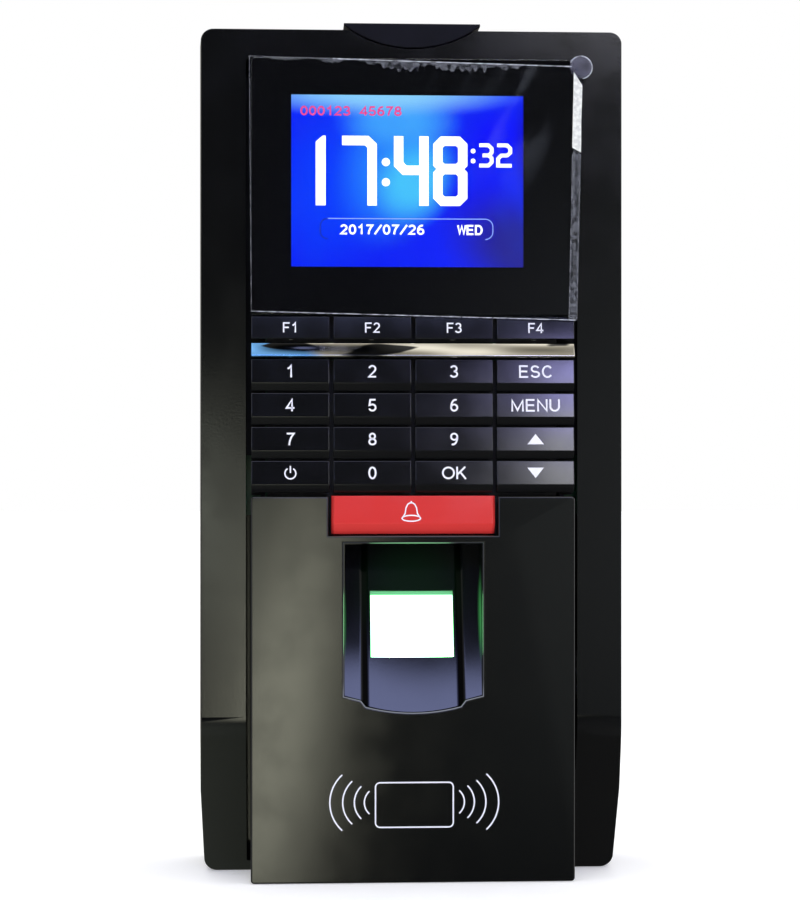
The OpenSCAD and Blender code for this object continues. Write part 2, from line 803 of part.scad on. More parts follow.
// Pin headers that the wiring plugs into through the cable passage
module wiring_headers() color([0.92, 0.9, 0.85]) {
    for (x = [-11.5, 0, 11.5]) difference() {
        block([x - 5, x + 5], [11.4, main_back_d], [mid_z - 3, mid_z + 3]);
        block([x - 4.2, x + 4.2], [10, 16.8], [mid_z - 2.2, mid_z + 2.2]);
    }
}

module relay() color([0.1, 0.25, 0.6]) {
    block([8, 28], [8.6, main_back_d], [126, 136]);
}

module buzzer() color([0.06, 0.06, 0.06]) difference() {
    pin(-28, 118, [12.9, main_back_d], 6);
    pin(-28, 118, [12, 14], 1);
}

module coin_cell_holder() color([0.15, 0.15, 0.15]) difference() {
    pin(-28, 148, [15.6, main_back_d], 7.4);
    pin(-28, 148, [15, 16.9], 6.3);
}

module coin_cell() color([0.78, 0.78, 0.8]) {
    pin(-28, 148, [14.9, 16.9], 6.25);
}

// ---------- connections at the upper edge ----------

module usb_port() color([0.75, 0.76, 0.78]) {
    tongue_half = 5.5;
    difference() {
        block([-usb_half_w, usb_half_w], [usb_back_d, usb_front_d], [usb_low_z, usb_high_z]);
        block([-usb_half_w + usb_skin, usb_half_w - usb_skin],
            [usb_back_d + usb_skin, usb_front_d - usb_skin], [usb_low_z + 1.5, usb_high_z + 1]);
    }
    block([-tongue_half, tongue_half], [usb_front_d - 2.6, usb_front_d - 0.8],
        [usb_low_z + 1, usb_high_z - 0.8]);
}

// Dust cover in the round scoop, with a flat plug that fills the socket
module usb_cover() color([0.06, 0.06, 0.06]) {
    intersection() {
        scoop(scoop_r - 0.25, scoop_back_d + 0.25);
        block([-scoop_half, scoop_half], [0, wing_d], [body_h - 6, body_h + cover_rise]);
    }
    block([-5.4, 5.4], [usb_back_d + 0.8, usb_back_d + 2.6], [usb_high_z - 6, body_h - 2]);
}

// ---------- sound and tamper switch ----------

module speaker() color([0.12, 0.12, 0.12]) difference() {
    block([14, 37], [7, 16], [wall + 0.1, wall + 6]);
    block([16, 35], [8.5, 14.5], [wall - 1, wall + 0.8]);
}

module tamper_switch() color([0.1, 0.1, 0.1]) difference() {
    block([tamper_x - 4, tamper_x + 4], [9, main_back_d], [tamper_z - 3.5, tamper_z + 3.5]);
    pin(tamper_x, tamper_z, [8, tamper_tip_back_d + 2], tamper_r + gap);
}

module tamper_plunger() color([0.9, 0.9, 0.88]) {
    pin(tamper_x, tamper_z, [0, tamper_tip_back_d], tamper_r);
}

placed() wall_plate();
placed() lock_screw();
placed() rear_shell();
placed() front_shell();
placed() center_frame();
placed() lower_panel();
placed() case_screws();
placed() chrome_trim();
placed() screen_lens();
placed() protective_film();
placed() lcd_frame();
placed() lcd_screen();
placed() lcd_backlight();
placed() lcd_ribbon_cable();
placed() f_key(0);  // key_f1
placed() f_key(1);  // key_f2
placed() f_key(2);  // key_f3
placed() f_key(3);  // key_f4
placed() key(0, 0);  // key_1
placed() key(1, 0);  // key_2
placed() key(2, 0);  // key_3
placed() key(3, 0);  // key_esc
placed() key(0, 1);  // key_4
placed() key(1, 1);  // key_5
placed() key(2, 1);  // key_6
placed() key(3, 1);  // key_menu
placed() key(0, 2);  // key_7
placed() key(1, 2);  // key_8
placed() key(2, 2);  // key_9
placed() key(3, 2);  // key_up
placed() key(0, 3);  // key_power
placed() key(1, 3);  // key_0
placed() key(2, 3);  // key_ok
placed() key(3, 3);  // key_down
placed() key_bell();
placed() keypad_mat();
placed() keypad_board();
placed() snap_domes();
placed() keypad_screws();
placed() sensor_bezel();
placed() sensor_prism();
placed() sensor_body();
placed() sensor_board();
placed() sensor_cable();
placed() card_reader_board();
placed() card_reader_coil();
placed() main_board();
placed() board_screws();
placed() board_chips();
placed() wiring_headers();
placed() relay();
placed() buzzer();
placed() coin_cell_holder();
placed() coin_cell();
placed() usb_port();
placed() usb_cover();
placed() speaker();
placed() tamper_switch();
placed() tamper_plunger();
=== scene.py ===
"""Looks of a wall-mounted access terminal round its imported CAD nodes. Metres, +Z up, the front faces -Y."""

import math
import random

import bmesh
import bpy
from mathutils import Matrix, Vector


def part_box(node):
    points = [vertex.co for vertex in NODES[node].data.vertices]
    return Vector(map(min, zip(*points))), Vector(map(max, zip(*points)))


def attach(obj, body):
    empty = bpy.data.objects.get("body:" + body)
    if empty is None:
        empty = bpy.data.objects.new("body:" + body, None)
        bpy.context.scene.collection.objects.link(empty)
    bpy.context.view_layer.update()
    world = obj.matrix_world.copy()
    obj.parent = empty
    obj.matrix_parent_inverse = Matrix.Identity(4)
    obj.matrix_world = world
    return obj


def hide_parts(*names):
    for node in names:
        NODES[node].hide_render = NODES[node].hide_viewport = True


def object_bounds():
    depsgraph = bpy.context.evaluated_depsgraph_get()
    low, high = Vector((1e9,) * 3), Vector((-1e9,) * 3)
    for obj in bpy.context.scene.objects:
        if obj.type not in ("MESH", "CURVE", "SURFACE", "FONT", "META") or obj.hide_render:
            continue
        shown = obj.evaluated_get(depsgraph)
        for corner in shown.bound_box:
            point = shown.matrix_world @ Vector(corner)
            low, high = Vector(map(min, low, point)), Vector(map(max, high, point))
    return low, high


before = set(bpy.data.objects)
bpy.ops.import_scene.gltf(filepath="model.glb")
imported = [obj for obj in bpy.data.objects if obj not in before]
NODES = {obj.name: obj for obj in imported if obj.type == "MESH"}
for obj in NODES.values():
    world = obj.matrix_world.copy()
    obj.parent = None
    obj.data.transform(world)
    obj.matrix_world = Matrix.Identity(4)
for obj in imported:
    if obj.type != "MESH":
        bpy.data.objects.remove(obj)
cad_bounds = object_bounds()

MM = 0.001
NEAR = 0.02 * MM
SHARP = math.radians(32)
TERMINAL = "terminal"

# Driving places, from the CAD nodes
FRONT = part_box("lower_panel")[0].y
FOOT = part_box("lower_panel")[0].z
WING_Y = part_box("front_shell")[0].y
SCREEN_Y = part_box("lcd_screen")[0].y
LENS_LOW, LENS_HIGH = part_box("screen_lens")

# Places on the front that several parts share
BEND_Z = FOOT + 31 * MM
OPENING_X = 35.3 * MM
PICTURE_X = (-25.7 * MM, 23.3 * MM)
PICTURE_Z = (FOOT + 129.7 * MM, FOOT + 165.9 * MM)
RECESS_FOOT = FOOT + 36 * MM
RECESS_TOP = FOOT + 71.3 * MM
STEP_MIDDLE = 10 * MM
WINDOW_HALF = 8.9 * MM
WINDOW_TOP_Z = FOOT + 61.4 * MM
PRINT_T = 0.02 * MM


# ---------- shader nodes ----------


class Nodes:
    """Adds shader nodes to one tree. An input is a number, a colour or another node's output."""

    def __init__(self, tree):
        self.tree = tree

    def add(self, kind, inputs=None, **settings):
        node = self.tree.nodes.new("ShaderNode" + kind)
        for key, value in settings.items():
            setattr(node, key, value)
        self.feed(node, inputs or {})
        return node

    def feed(self, node, inputs):
        """Links other nodes' outputs to a node's inputs, or sets the inputs to plain values."""
        for key, value in inputs.items():
            if isinstance(value, bpy.types.NodeSocket):
                self.tree.links.new(value, node.inputs[key])
            else:
                node.inputs[key].default_value = value

    def coords(self):
        return self.add("TexCoord").outputs["Object"]

    def split(self, vector):
        """The x, y and z of a vector."""
        return tuple(self.add("SeparateXYZ", {0: vector}).outputs)

    def math(self, operation, a, b=0.0):
        return self.add("Math", {0: a, 1: b}, operation=operation).outputs[0]

    def plus(self, a, b):
        return self.math("ADD", a, b)

    def times(self, a, b):
        return self.math("MULTIPLY", a, b)

    def mix(self, factor, a, b):
        return self.add("Mix", {0: factor, 6: a, 7: b}, data_type="RGBA").outputs[2]

    def ramp(self, value, start, end, low=0.0, high=1.0):
        """`value` from start to end becomes low to high, smoothly, and stays there beyond."""
        names = ("Value", "From Min", "From Max", "To Min", "To Max")
        inputs = dict(zip(names, (value, start, end, low, high)))
        return self.add("MapRange", inputs, interpolation_type="SMOOTHSTEP").outputs["Result"]

    def noise(self, vector, size, detail=3.0, stretch=(1, 1, 1)):
        """Noise from 0 to 1 whose patches are about `size` metres across."""
        scaled = self.add("Mapping", {"Vector": vector, "Scale": stretch}).outputs["Vector"]
        inputs = {"Vector": scaled, "Scale": 1 / size, "Detail": detail}
        return self.add("TexNoise", inputs).outputs["Fac"]

    def bumps(self, height, depth):
        """Normal of a surface whose height from 0 to 1 stands for `depth` metres."""
        return self.add("Bump", {"Height": height, "Distance": depth, "Strength": 1.0}).outputs["Normal"]

    def spot(self, vector, centre, size, roll=0.0, core=0.2):
        """1 inside an ellipse round `centre`, falling to 0 at `size` from it; roll turns it about Y."""
        inputs = {"Vector": vector, "Location": centre, "Rotation": (0, roll, 0), "Scale": size}
        local = self.add("Mapping", inputs, vector_type="TEXTURE").outputs["Vector"]
        distance = self.add("VectorMath", {0: local}, operation="LENGTH").outputs["Value"]
        return self.ramp(distance, core, 1.0, 1.0, 0.0)

    def band(self, value, centre, half, core):
        """1 round `centre`, falling to 0 at `half` from it; `core` is the share of `half` that stays 1."""
        offset = self.math("ABSOLUTE", self.math("SUBTRACT", value, centre))
        return self.ramp(offset, half * core, half, 1.0, 0.0)

    def add_light(self, total, color, amount):
        """`total` with `amount` times `color` added to it."""
        shade = self.add("VectorMath", {0: color, "Scale": amount}, operation="SCALE").outputs[0]
        return self.add("VectorMath", {0: total, 1: shade}, operation="ADD").outputs[0]


def rgba(color):
    return (*color, 1.0)


def scaled(color, factor):
    return tuple(min(1.0, c * factor) for c in color)


def tools(made):
    """Node helper and shader of a material."""
    return Nodes(made.node_tree), made.node_tree.nodes["Principled BSDF"]


def material(name):
    """A new material, its node helper and its shader."""
    made = bpy.data.materials.new(name)
    made.use_nodes = True
    return made, *tools(made)


def surface(name, color, roughness, metallic=0.0, grain=(0.5, 0.01), mottle=0.12, smudge=0.15, edge_highlight=0.0,
            stretch=(1, 1, 1), specular=0.5):
    """Solid finish with a fine grain (size and depth in mm), mottled colour, smudges, and a painted highlight
    that lightens its sharp convex edges.
    """
    made, n, shader = material(name)
    at = n.coords()
    patches = n.noise(at, 14 * MM)
    base = n.mix(patches, rgba(scaled(color, 1 - mottle)), rgba(scaled(color, 1 + mottle)))
    # painted highlight: the base colour is lightened on sharp convex edges
    if edge_highlight:
        edges = n.ramp(n.add("NewGeometry").outputs["Pointiness"], 0.53, 0.64, 0.0, edge_highlight)
        base = n.mix(edges, base, rgba(scaled(color, 3.0)))
    smears = n.ramp(n.noise(at, 9 * MM, 5.0), 0.35, 0.7, 1 - smudge, 1 + smudge)
    height = n.noise(at, grain[0] * MM, 2.0, stretch)
    n.feed(shader, {
        "Base Color": base,
        "Roughness": n.times(smears, roughness),
        "Normal": n.bumps(height, grain[1] * MM),
        "Metallic": metallic,
        "Specular IOR Level": specular,
    })
    return made


def brushed(name, color, roughness):
    """Metal brushed along X."""
    return surface(name, color, roughness, 1.0, grain=(0.25, 0.012), smudge=0.25, stretch=(0.08, 1, 1))


def lit_surface(name, color, strength):
    """Lit pixels of one colour, a little uneven."""
    made, n, shader = material(name)
    n.feed(shader, {
        "Emission Color": n.mix(n.noise(n.coords(), 1.5 * MM), rgba(scaled(color, 0.9)), rgba(color)),
        "Emission Strength": strength,
        "Base Color": rgba(scaled(color, 0.1)),
    })
    return made


def hazy(name, color, low, high, size):
    """Milky see-through patches, `size` mm across, such as trapped air and the film's painted highlights and
    painted reflection; the alpha goes from low to high.
    """
    made, n, shader = material(name)
    n.feed(shader, {
        "Alpha": n.ramp(n.noise(n.coords(), size * MM, 4.0), 0.35, 0.65, low, high),
        "Base Color": rgba(color),
        "Roughness": 0.4,
    })
    return made


def case_gloss():
    """Housing finish: glossy outside; the inside of the shells, seen through the grooves, is painted shade:
    black metal that mirrors nothing.
    """
    made = surface("case_black", (0.0025, 0.0026, 0.0024), 0.12, grain=(0.5, 0.0035), edge_highlight=0.5)
    n, shader = tools(made)
    x, y, z = n.split(n.coords())
    # painted shade: black metal on the inside of the shells darkens the grooves
    inside = n.band(x, 0.0, OPENING_X + 0.1 * MM, 0.98)
    inside = n.times(inside, n.band(y, -17 * MM, 13.5 * MM, 0.95))
    inside = n.times(inside, n.band(z, 0.0, 87 * MM, 0.98))
    n.feed(shader, {"Metallic": inside})
    return made


def panel_gloss():
    """Panel finish with painted highlights glowing on the rounded edge of the recess: pale at its foot, green
    at its top.
    """
    made = surface("panel_black", (0.0025, 0.0027, 0.0023), 0.09, grain=(0.4, 0.0012), edge_highlight=0.5)
    n, shader = tools(made)
    at = n.coords()
    _, y, z = n.split(at)
    middle = (0, FRONT, (RECESS_FOOT + RECESS_TOP) / 2)
    nearby = n.spot(at, middle, (26 * MM, 2 * MM, 26 * MM), 0, 0.9)
    # painted highlight along the rounded edge of the recess, strongest at its foot
    edge = n.times(nearby, n.band(y, FRONT + 0.16 * MM, 0.14 * MM, 0.3))
    fading = n.ramp(z, RECESS_FOOT + 2 * MM, RECESS_FOOT + 7 * MM, 0.3, 0.05)
    # painted green highlight along the top edge of the recess
    top = n.spot(at, (0, FRONT, RECESS_TOP + 0.1 * MM), (11 * MM, 2 * MM, 0.35 * MM))
    n.feed(shader, {
        "Emission Color": n.mix(top, rgba((0.7, 0.74, 0.9)), rgba((0.4, 1.0, 0.5))),
        "Emission Strength": n.plus(n.times(edge, fading), n.times(top, 0.25)),
    })
    return made


def chrome():
    """Bright chrome whose colour holds a painted reflection: blue at its left end, dark streaks in three
    places, beige between them.
    """
    made, n, shader = material("chrome")
    at = n.coords()
    low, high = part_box("chrome_trim")
    middle = (low + high) / 2
    waves = n.noise(at, 13 * MM, 1.0, (0.5, 1, 2.2))
    # painted reflection in the base colour: dark streaks, a blue left end and beige between them
    streaks = n.noise(at, 5.5 * MM, 1.5, (0.3, 1, 2.4))
    for share, reach, more in ((0.12, 9, 0.15), (0.43, 13, 0.15), (0.95, 6, 0.18)):
        place = (low.x + (high.x - low.x) * share, middle.y, middle.z)
        streaks = n.plus(streaks, n.times(n.spot(at, place, (reach * MM, 1, 1)), more))
    along = n.plus(n.split(at)[0], n.times(waves, 14 * MM))
    blue = n.ramp(along, low.x + 17 * MM, low.x + 22 * MM, 1.0, 0.0)
    painted_reflection = n.mix(blue, rgba((0.66, 0.62, 0.52)), rgba((0.18, 0.46, 0.9)))
    n.feed(shader, {
        "Base Color": n.mix(n.ramp(streaks, 0.6, 0.66), painted_reflection, rgba((0.03, 0.03, 0.03))),
        "Roughness": n.ramp(n.noise(at, 4 * MM), 0.4, 0.8, 0.06, 0.14),
        "Normal": n.bumps(waves, 0.9 * MM),
        "Metallic": 1.0,
    })
    return made


def lens_glass():
    """Clear acrylic with faint smears."""
    made, n, shader = material("lens_glass")
    n.feed(shader, {
        "Roughness": n.ramp(n.noise(n.coords(), 12 * MM, 5.0), 0.4, 0.75, 0.03, 0.07),
        "Base Color": rgba((0.96, 0.97, 0.98)),
        "Transmission Weight": 1.0,
        "IOR": 1.49,
    })
    return made


def clear_film():
    """Nearly unseen film: only faint slanting streaks towards its upper right corner catch the light."""
    made, n, shader = material("clear_film")
    at = n.coords()
    corner = (LENS_HIGH.x - 9 * MM, FRONT, LENS_HIGH.z - 8 * MM)
    near_corner = n.spot(at, corner, (30 * MM, 1, 24 * MM))
    slanted = n.add("Mapping", {"Vector": at, "Rotation": (0, math.radians(-28), 0)}).outputs["Vector"]
    streaks = n.ramp(n.noise(slanted, 7 * MM, 2.0, (1, 1, 0.16)), 0.48, 0.62)
    n.feed(shader, {
        "Alpha": n.plus(n.times(near_corner, n.times(streaks, 0.03)), 0.002),
        "Base Color": rgba((0.4, 0.44, 0.48)),
        "Roughness": 0.25,
    })
    return made


# Glows of the screen's wallpaper: the centre as shares of its width and height, the reach to the sides and
# up and down in mm, the roll, the colour and how much of it
GLOWS = [
    ((0.2, 0.5), (18, 24), 0.35, (0.0, 0.045, 1.0), 0.9),
    ((0.45, 0.62), (14, 21), 0.3, (0.02, 0.26, 1.0), 0.9),
    ((0.46, 0.85), (15, 7.5), 0.0, (0.06, 0.42, 1.0), 0.8),
    ((0.53, 0.5), (10, 12), 0.6, (0.07, 0.62, 0.98), 0.9),
    ((0.38, 1.02), (34, 6), 0.0, (0.26, 0.66, 1.0), 0.95),
    ((0.9, 0.75), (9, 8), 0.0, (0.0, 0.0, 1.0), 0.95),
    ((0.8, 0.45), (9, 12), 0.4, (0.0, 0.005, 0.95), 0.9),
    ((1.0, 0.1), (21, 14), 0.5, (0.015, 0.012, 0.27), 0.97),
    ((1.03, 0.7), (4, 17), 0.0, (0.0, 0.0, 0.5), 0.8),
]


def on_picture(across, up):
    """A place on the lit picture, from shares of its width and height."""
    (left, right), (low, high) = PICTURE_X, PICTURE_Z
    return (left + (right - left) * across, SCREEN_Y, low + (high - low) * up)


def screen_picture():
    """Blue wallpaper of the screen: a cyan glow in deep blue, violet towards the lower right."""
    made, n, shader = material("lcd_image")
    at = n.coords()
    image = rgba((0.0, 0.012, 0.95))
    for centre, reach, roll, color, amount in GLOWS:
        glow = n.spot(at, on_picture(*centre), (reach[0] * MM, 1, reach[1] * MM), roll)
        image = n.mix(n.times(glow, amount), image, rgba(color))
    veils = n.ramp(n.noise(at, 9 * MM, 4.0, (1, 1, 0.5)), 0.45, 0.7, 0.0, 0.1)
    n.feed(shader, {
        "Emission Color": n.mix(veils, image, rgba((0.0, 0.1, 1.0))),
        "Emission Strength": 1.08,
        "Base Color": rgba((0.001, 0.001, 0.002)),
        "Specular IOR Level": 0.0,
    })
    return made


def tray_gloss():
    """Polished black of the recess with painted green light round the lit window; its steps are painted
    shade.
    """
    made = surface("bezel_gloss", (0.003, 0.003, 0.004), 0.05, grain=(0.5, 0.0003), mottle=0.1)
    n, shader = tools(made)
    at = n.coords()
    floor_y = FRONT + 6 * MM
    # painted light: green glow round the window, and painted green reflections of it on the side walls
    green = n.times(n.spot(at, (0, floor_y, WINDOW_TOP_Z - 1 * MM), (15 * MM, 1, 14 * MM)), 0.007)
    for side in (-1, 1):
        wall_middle = (side * 14.6 * MM, floor_y - 1 * MM, WINDOW_TOP_Z - 6 * MM)
        wall = n.spot(at, wall_middle, (0.7 * MM, 6 * MM, 12 * MM))
        green = n.plus(green, n.times(wall, 0.14))
    # painted shade: black metal on the steps, so that they mirror nothing
    step = n.band(n.math("ABSOLUTE", n.split(at)[0]), STEP_MIDDLE, 0.9 * MM, 0.6)
    n.feed(shader, {
        "Emission Color": rgba((0.15, 1.0, 0.25)),
        "Emission Strength": green,
        "Metallic": n.times(step, 0.9),
    })
    return made


def window_light():
    """Lit face of the prism: blown out in the middle, green towards its edges."""
    made, n, shader = material("lit_prism")
    x, _, z = n.split(n.coords())
    rim = n.ramp(n.math("ABSOLUTE", x), WINDOW_HALF - 0.3 * MM, WINDOW_HALF - 0.05 * MM, 1.0, 0.02)
    top = n.ramp(z, WINDOW_TOP_Z - 1.75 * MM, WINDOW_TOP_Z - 1.25 * MM, 1.0, 0.025)
    n.feed(shader, {
        "Emission Color": rgba((0.28, 1.0, 0.36)),
        "Emission Strength": n.times(n.math("MINIMUM", rim, top), 14.0),
        "Base Color": rgba((0.1, 0.4, 0.18)),
        "Roughness": 0.12,
    })
    return made


def board_green():
    """Solder mask with faint lighter tracks under it."""
    made = surface("circuit_board", (0.015, 0.11, 0.045), 0.35, grain=(1.2, 0.02))
    n, shader = tools(made)
    tracks = n.add("TexBrick", {
        "Vector": n.coords(),
        "Scale": 1 / (14 * MM),
        "Mortar Size": 0.02,
        "Color1": rgba((0.015, 0.11, 0.045)),
        "Color2": rgba((0.018, 0.13, 0.055)),
        "Mortar": rgba((0.03, 0.2, 0.09)),
    })
    n.feed(shader, {"Base Color": tracks.outputs["Color"]})
    return made


# ---------- finishes, by the record's slots ----------

FINISHES = {
    "zinc_steel": brushed("zinc_steel", (0.62, 0.63, 0.65), 0.32),
    "screw_steel": brushed("screw_steel", (0.66, 0.66, 0.68), 0.25),
    "lcd_steel": brushed("lcd_steel", (0.6, 0.6, 0.6), 0.3),
    "copper": brushed("copper", (0.75, 0.4, 0.22), 0.35),
    "chrome": chrome(),
    "case_black": case_gloss(),
    "panel_black": panel_gloss(),
    "frame_black": surface("frame_black", (0.004, 0.004, 0.004), 0.5, specular=0.1),
    "key_black": surface("key_black", (0.003, 0.0031, 0.0034), 0.1, grain=(0.3, 0.0012), edge_highlight=0.7),
    "bell_red": surface("bell_red", (0.64, 0.036, 0.032), 0.16, grain=(0.3, 0.002), mottle=0.04,
                        specular=0.4),
    "legend_white": surface("legend_white", (0.9, 0.9, 0.95), 0.5, mottle=0.03),
    "cover_rubber": surface("cover_rubber", (0.004, 0.004, 0.006), 0.4, grain=(0.3, 0.006), specular=0.12),
    "silicone_rubber": surface("silicone_rubber", (0.03, 0.03, 0.032), 0.7),
    "white_plastic": surface("white_plastic", (0.8, 0.78, 0.72), 0.45),
    "amber_film": surface("amber_film", (0.5, 0.22, 0.04), 0.3),
    "chip_black": surface("chip_black", (0.02, 0.02, 0.02), 0.5, grain=(0.2, 0.01)),
    "relay_blue": surface("relay_blue", (0.03, 0.12, 0.45), 0.4),
    "circuit_board": board_green(),
    "lens_glass": lens_glass(),
    "clear_film": clear_film(),
    "bezel_gloss": tray_gloss(),
    "lit_prism": window_light(),
    "lcd_image": screen_picture(),
    "lcd_image_dim": lit_surface("lcd_image_dim", (0.0, 0.01, 0.28), 1.0),
    "screen_line": lit_surface("screen_line", (0.25, 0.4, 1.0), 1.2),
    "screen_white": lit_surface("screen_white", (0.97, 0.99, 1.0), 1.6),
    "screen_red": lit_surface("screen_red", (0.85, 0.06, 0.28), 1.1),
}

# Finishes of shown details that the record has no slot for
MASK_BLACK = surface("lens_print", (0.002, 0.002, 0.003), 0.5, mottle=0.05, specular=0.0)
# painted highlights on the film's edges
FILM_EDGE_HIGHLIGHT = hazy("film_edge_highlight", (0.75, 0.78, 0.82), 0.15, 0.75, 1.5)
FILM_AIR = hazy("film_air", (0.4, 0.42, 0.46), 0.02, 0.18, 0.9)
# painted reflection on the film's strip past the lens
FILM_STRIP_REFLECTION = hazy("film_strip", (0.85, 0.86, 0.78), 0.75, 1.0, 0.8)
# dim painted highlights on the film's left edge and on the strip's rims
FILM_DIM_HIGHLIGHT = hazy("film_dim_highlight", (0.3, 0.31, 0.33), 0.08, 0.42, 1.0)
FILM_TAB = hazy("film_tab", (0.4, 0.4, 0.56), 0.04, 0.12, 3.0)


# ---------- meshes ----------


def shown(name, bm, made):
    """Turns a bmesh into an object of one material."""
    mesh = bpy.data.meshes.new(name)
    bm.to_mesh(mesh)
    bm.free()
    mesh.materials.append(made)
    obj = bpy.data.objects.new(name, mesh)
    bpy.context.scene.collection.objects.link(obj)
    return obj


def piece(name, bm, made, body, stands_for=()):
    """Shows a bmesh as a piece that rides on a CAD body; edges that turn less than SHARP look smooth."""
    bmesh.ops.recalc_face_normals(bm, faces=bm.faces)
    for face in bm.faces:
        face.smooth = True
    for edge in bm.edges:
        edge.smooth = len(edge.link_faces) == 2 and edge.calc_face_angle(0.0) < SHARP
    obj = shown(name, bm, made)
    weighted = obj.modifiers.new("weighted", "WEIGHTED_NORMAL")
    weighted.keep_sharp = True
    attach(obj, body)
    if stands_for:
        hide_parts(*stands_for)
    return obj


def slot_of(node):
    return NODES[node].material_slots[0].material.name.split(".")[0]


def bevel(bm, edges, radius, segments=3):
    """Bevels edges by `radius` mm."""
    bmesh.ops.bevel(bm, geom=edges, offset=radius * MM, offset_type="OFFSET", segments=segments, profile=0.5,
                    affect="EDGES", clamp_overlap=True)


def round_edges(bm, test, radius, least=SHARP):
    """Rounds the edges that turn more than `least` and whose two ends pass `test`."""
    turning = [e for e in bm.edges if len(e.link_faces) == 2 and e.calc_face_angle(0.0) > least]
    bevel(bm, [e for e in turning if all(test(v.co) for v in e.verts)], radius)


def cad_copy(node):
    """Mesh of a CAD node with its triangles joined into flat faces."""
    bm = bmesh.new()
    bm.from_mesh(NODES[node].data)
    bmesh.ops.remove_doubles(bm, verts=bm.verts, dist=0.01 * MM)
    bmesh.ops.dissolve_limit(bm, angle_limit=math.radians(0.4), verts=bm.verts, edges=bm.edges)
    return bm


def softened(node, rounds, body=TERMINAL):
    """A CAD node shown with rounded edges; rounds are (test, radius in mm[, least angle]) tuples."""
    bm = cad_copy(node)
    for rounding in rounds:
        round_edges(bm, *rounding)
    slot = slot_of(node)
    piece(node + "_soft", bm, FINISHES[slot], body, [node])


def prism(profile, x0, x1):
    """Closed bar whose [y, z] profile runs from x0 to x1."""
    bm = bmesh.new()
    ends = [[bm.verts.new((x, y, z)) for y, z in profile] for x in (x0, x1)]
    bm.faces.new(ends[0])
    bm.faces.new(list(reversed(ends[1])))
    for i in range(len(profile)):
        j = (i + 1) % len(profile)
        bm.faces.new((ends[0][i], ends[1][i], ends[1][j], ends[0][j]))
    bmesh.ops.recalc_face_normals(bm, faces=bm.faces)
    return bm


def move_new(bm, extruded, shift):
    """Moves the vertices that an extrusion has just made."""
    made = [g for g in extruded["geom"] if isinstance(g, bmesh.types.BMVert)]
    bmesh.ops.translate(bm, verts=made, vec=shift)


def thicken(bm, thickness):
    """Gives flat faces that look along -Y a thickness towards -Y."""
    move_new(bm, bmesh.ops.extrude_face_region(bm, geom=list(bm.faces)), (0, -thickness, 0))


def put(bm, place):
    """Moves a bmesh by a vector or a matrix."""
    matrix = place if isinstance(place, Matrix) else Matrix.Translation(place)
    bmesh.ops.transform(bm, matrix=matrix, verts=bm.verts)
    return bm


def flat(bm, points):
    """Adds a flat face through [x, z] points."""
    return bm.faces.new([bm.verts.new((x, 0, z)) for x, z in points])


def frame_face(bm, outer, inner):
    """Adds a flat frame between two [x, z] rings of equal length."""
    rings = [[bm.verts.new((x, 0, z)) for x, z in ring] for ring in (outer, inner)]
    for i in range(len(outer)):
        j = (i + 1) % len(outer)
        bm.faces.new((rings[0][i], rings[0][j], rings[1][j], rings[1][i]))


def stroke(bm, points, width, closed=False):
    """Adds a line of that width along [x, z] points, mitred at its corners."""
    count = len(points)
    path = [Vector(p) for p in points]
    rails = []
    for i, p in enumerate(path):
        before = path[(i - 1) % count] if closed or i else p
        after = path[(i + 1) % count] if closed or i < count - 1 else p
        d1 = (p - before).normalized() if p != before else (after - p).normalized()
        d2 = (after - p).normalized() if p != after else d1
        tangent = (d1 + d2).normalized()
        normal = Vector((-tangent.y, tangent.x))
        reach = width / 2 / max(0.5, tangent.dot(d1))
        sides = (p + normal * reach, p - normal * reach)
        rails.append([bm.verts.new((s.x, 0, s.y)) for s in sides])
    for i in range(count if closed else count - 1):
        a, b = rails[i], rails[(i + 1) % count]
        bm.faces.new((a[0], b[0], b[1], a[1]))


def arc(cx, cz, rx, rz, start, end, steps=24):
    """[x, z] points on an ellipse from one angle to another, in degrees."""
    angles = [math.radians(start + (end - start) * i / steps) for i in range(steps + 1)]
    return [(cx + rx * math.cos(a), cz + rz * math.sin(a)) for a in angles]


def oval(cx, cz, rx, rz):
    """Closed ellipse; its first point is repeated at the end."""
    return arc(cx, cz, rx, rz, 0, 360)


def disc(cx, cz, radius, steps):
    """[x, z] outline of a disc."""
    return arc(cx, cz, radius, radius, 0, 360, steps)[:-1]


def arc_through(end_x, bulge_x, half, steps=20):
    """Upright arc round z = 0 from end to end through its bulge, as [x, z] points."""
    sagitta = bulge_x - end_x
    radius = (half * half + sagitta * sagitta) / (2 * sagitta)
    reach = math.degrees(math.asin(half / radius))
    return arc(bulge_x - radius, 0, radius, radius, -reach, reach, steps)


def rectangle(x, z):
    """[x, z] corners of a rectangle from its (low, high) limits along x and z."""
    return [(x[0], z[0]), (x[1], z[0]), (x[1], z[1]), (x[0], z[1])]


CORNER_STEPS = 6


def round_box(cx, cz, w, h, r):
    """[x, z] outline of a rectangle with round corners, from its right side round by the top."""
    points = []
    for sx, sz, turn in ((1, 1, 0), (-1, 1, 90), (-1, -1, 180), (1, -1, 270)):
        points += arc(cx + sx * (w / 2 - r), cz + sz * (h / 2 - r), r, r, turn, turn + 90, CORNER_STEPS)
    return points


# ---------- lettering ----------


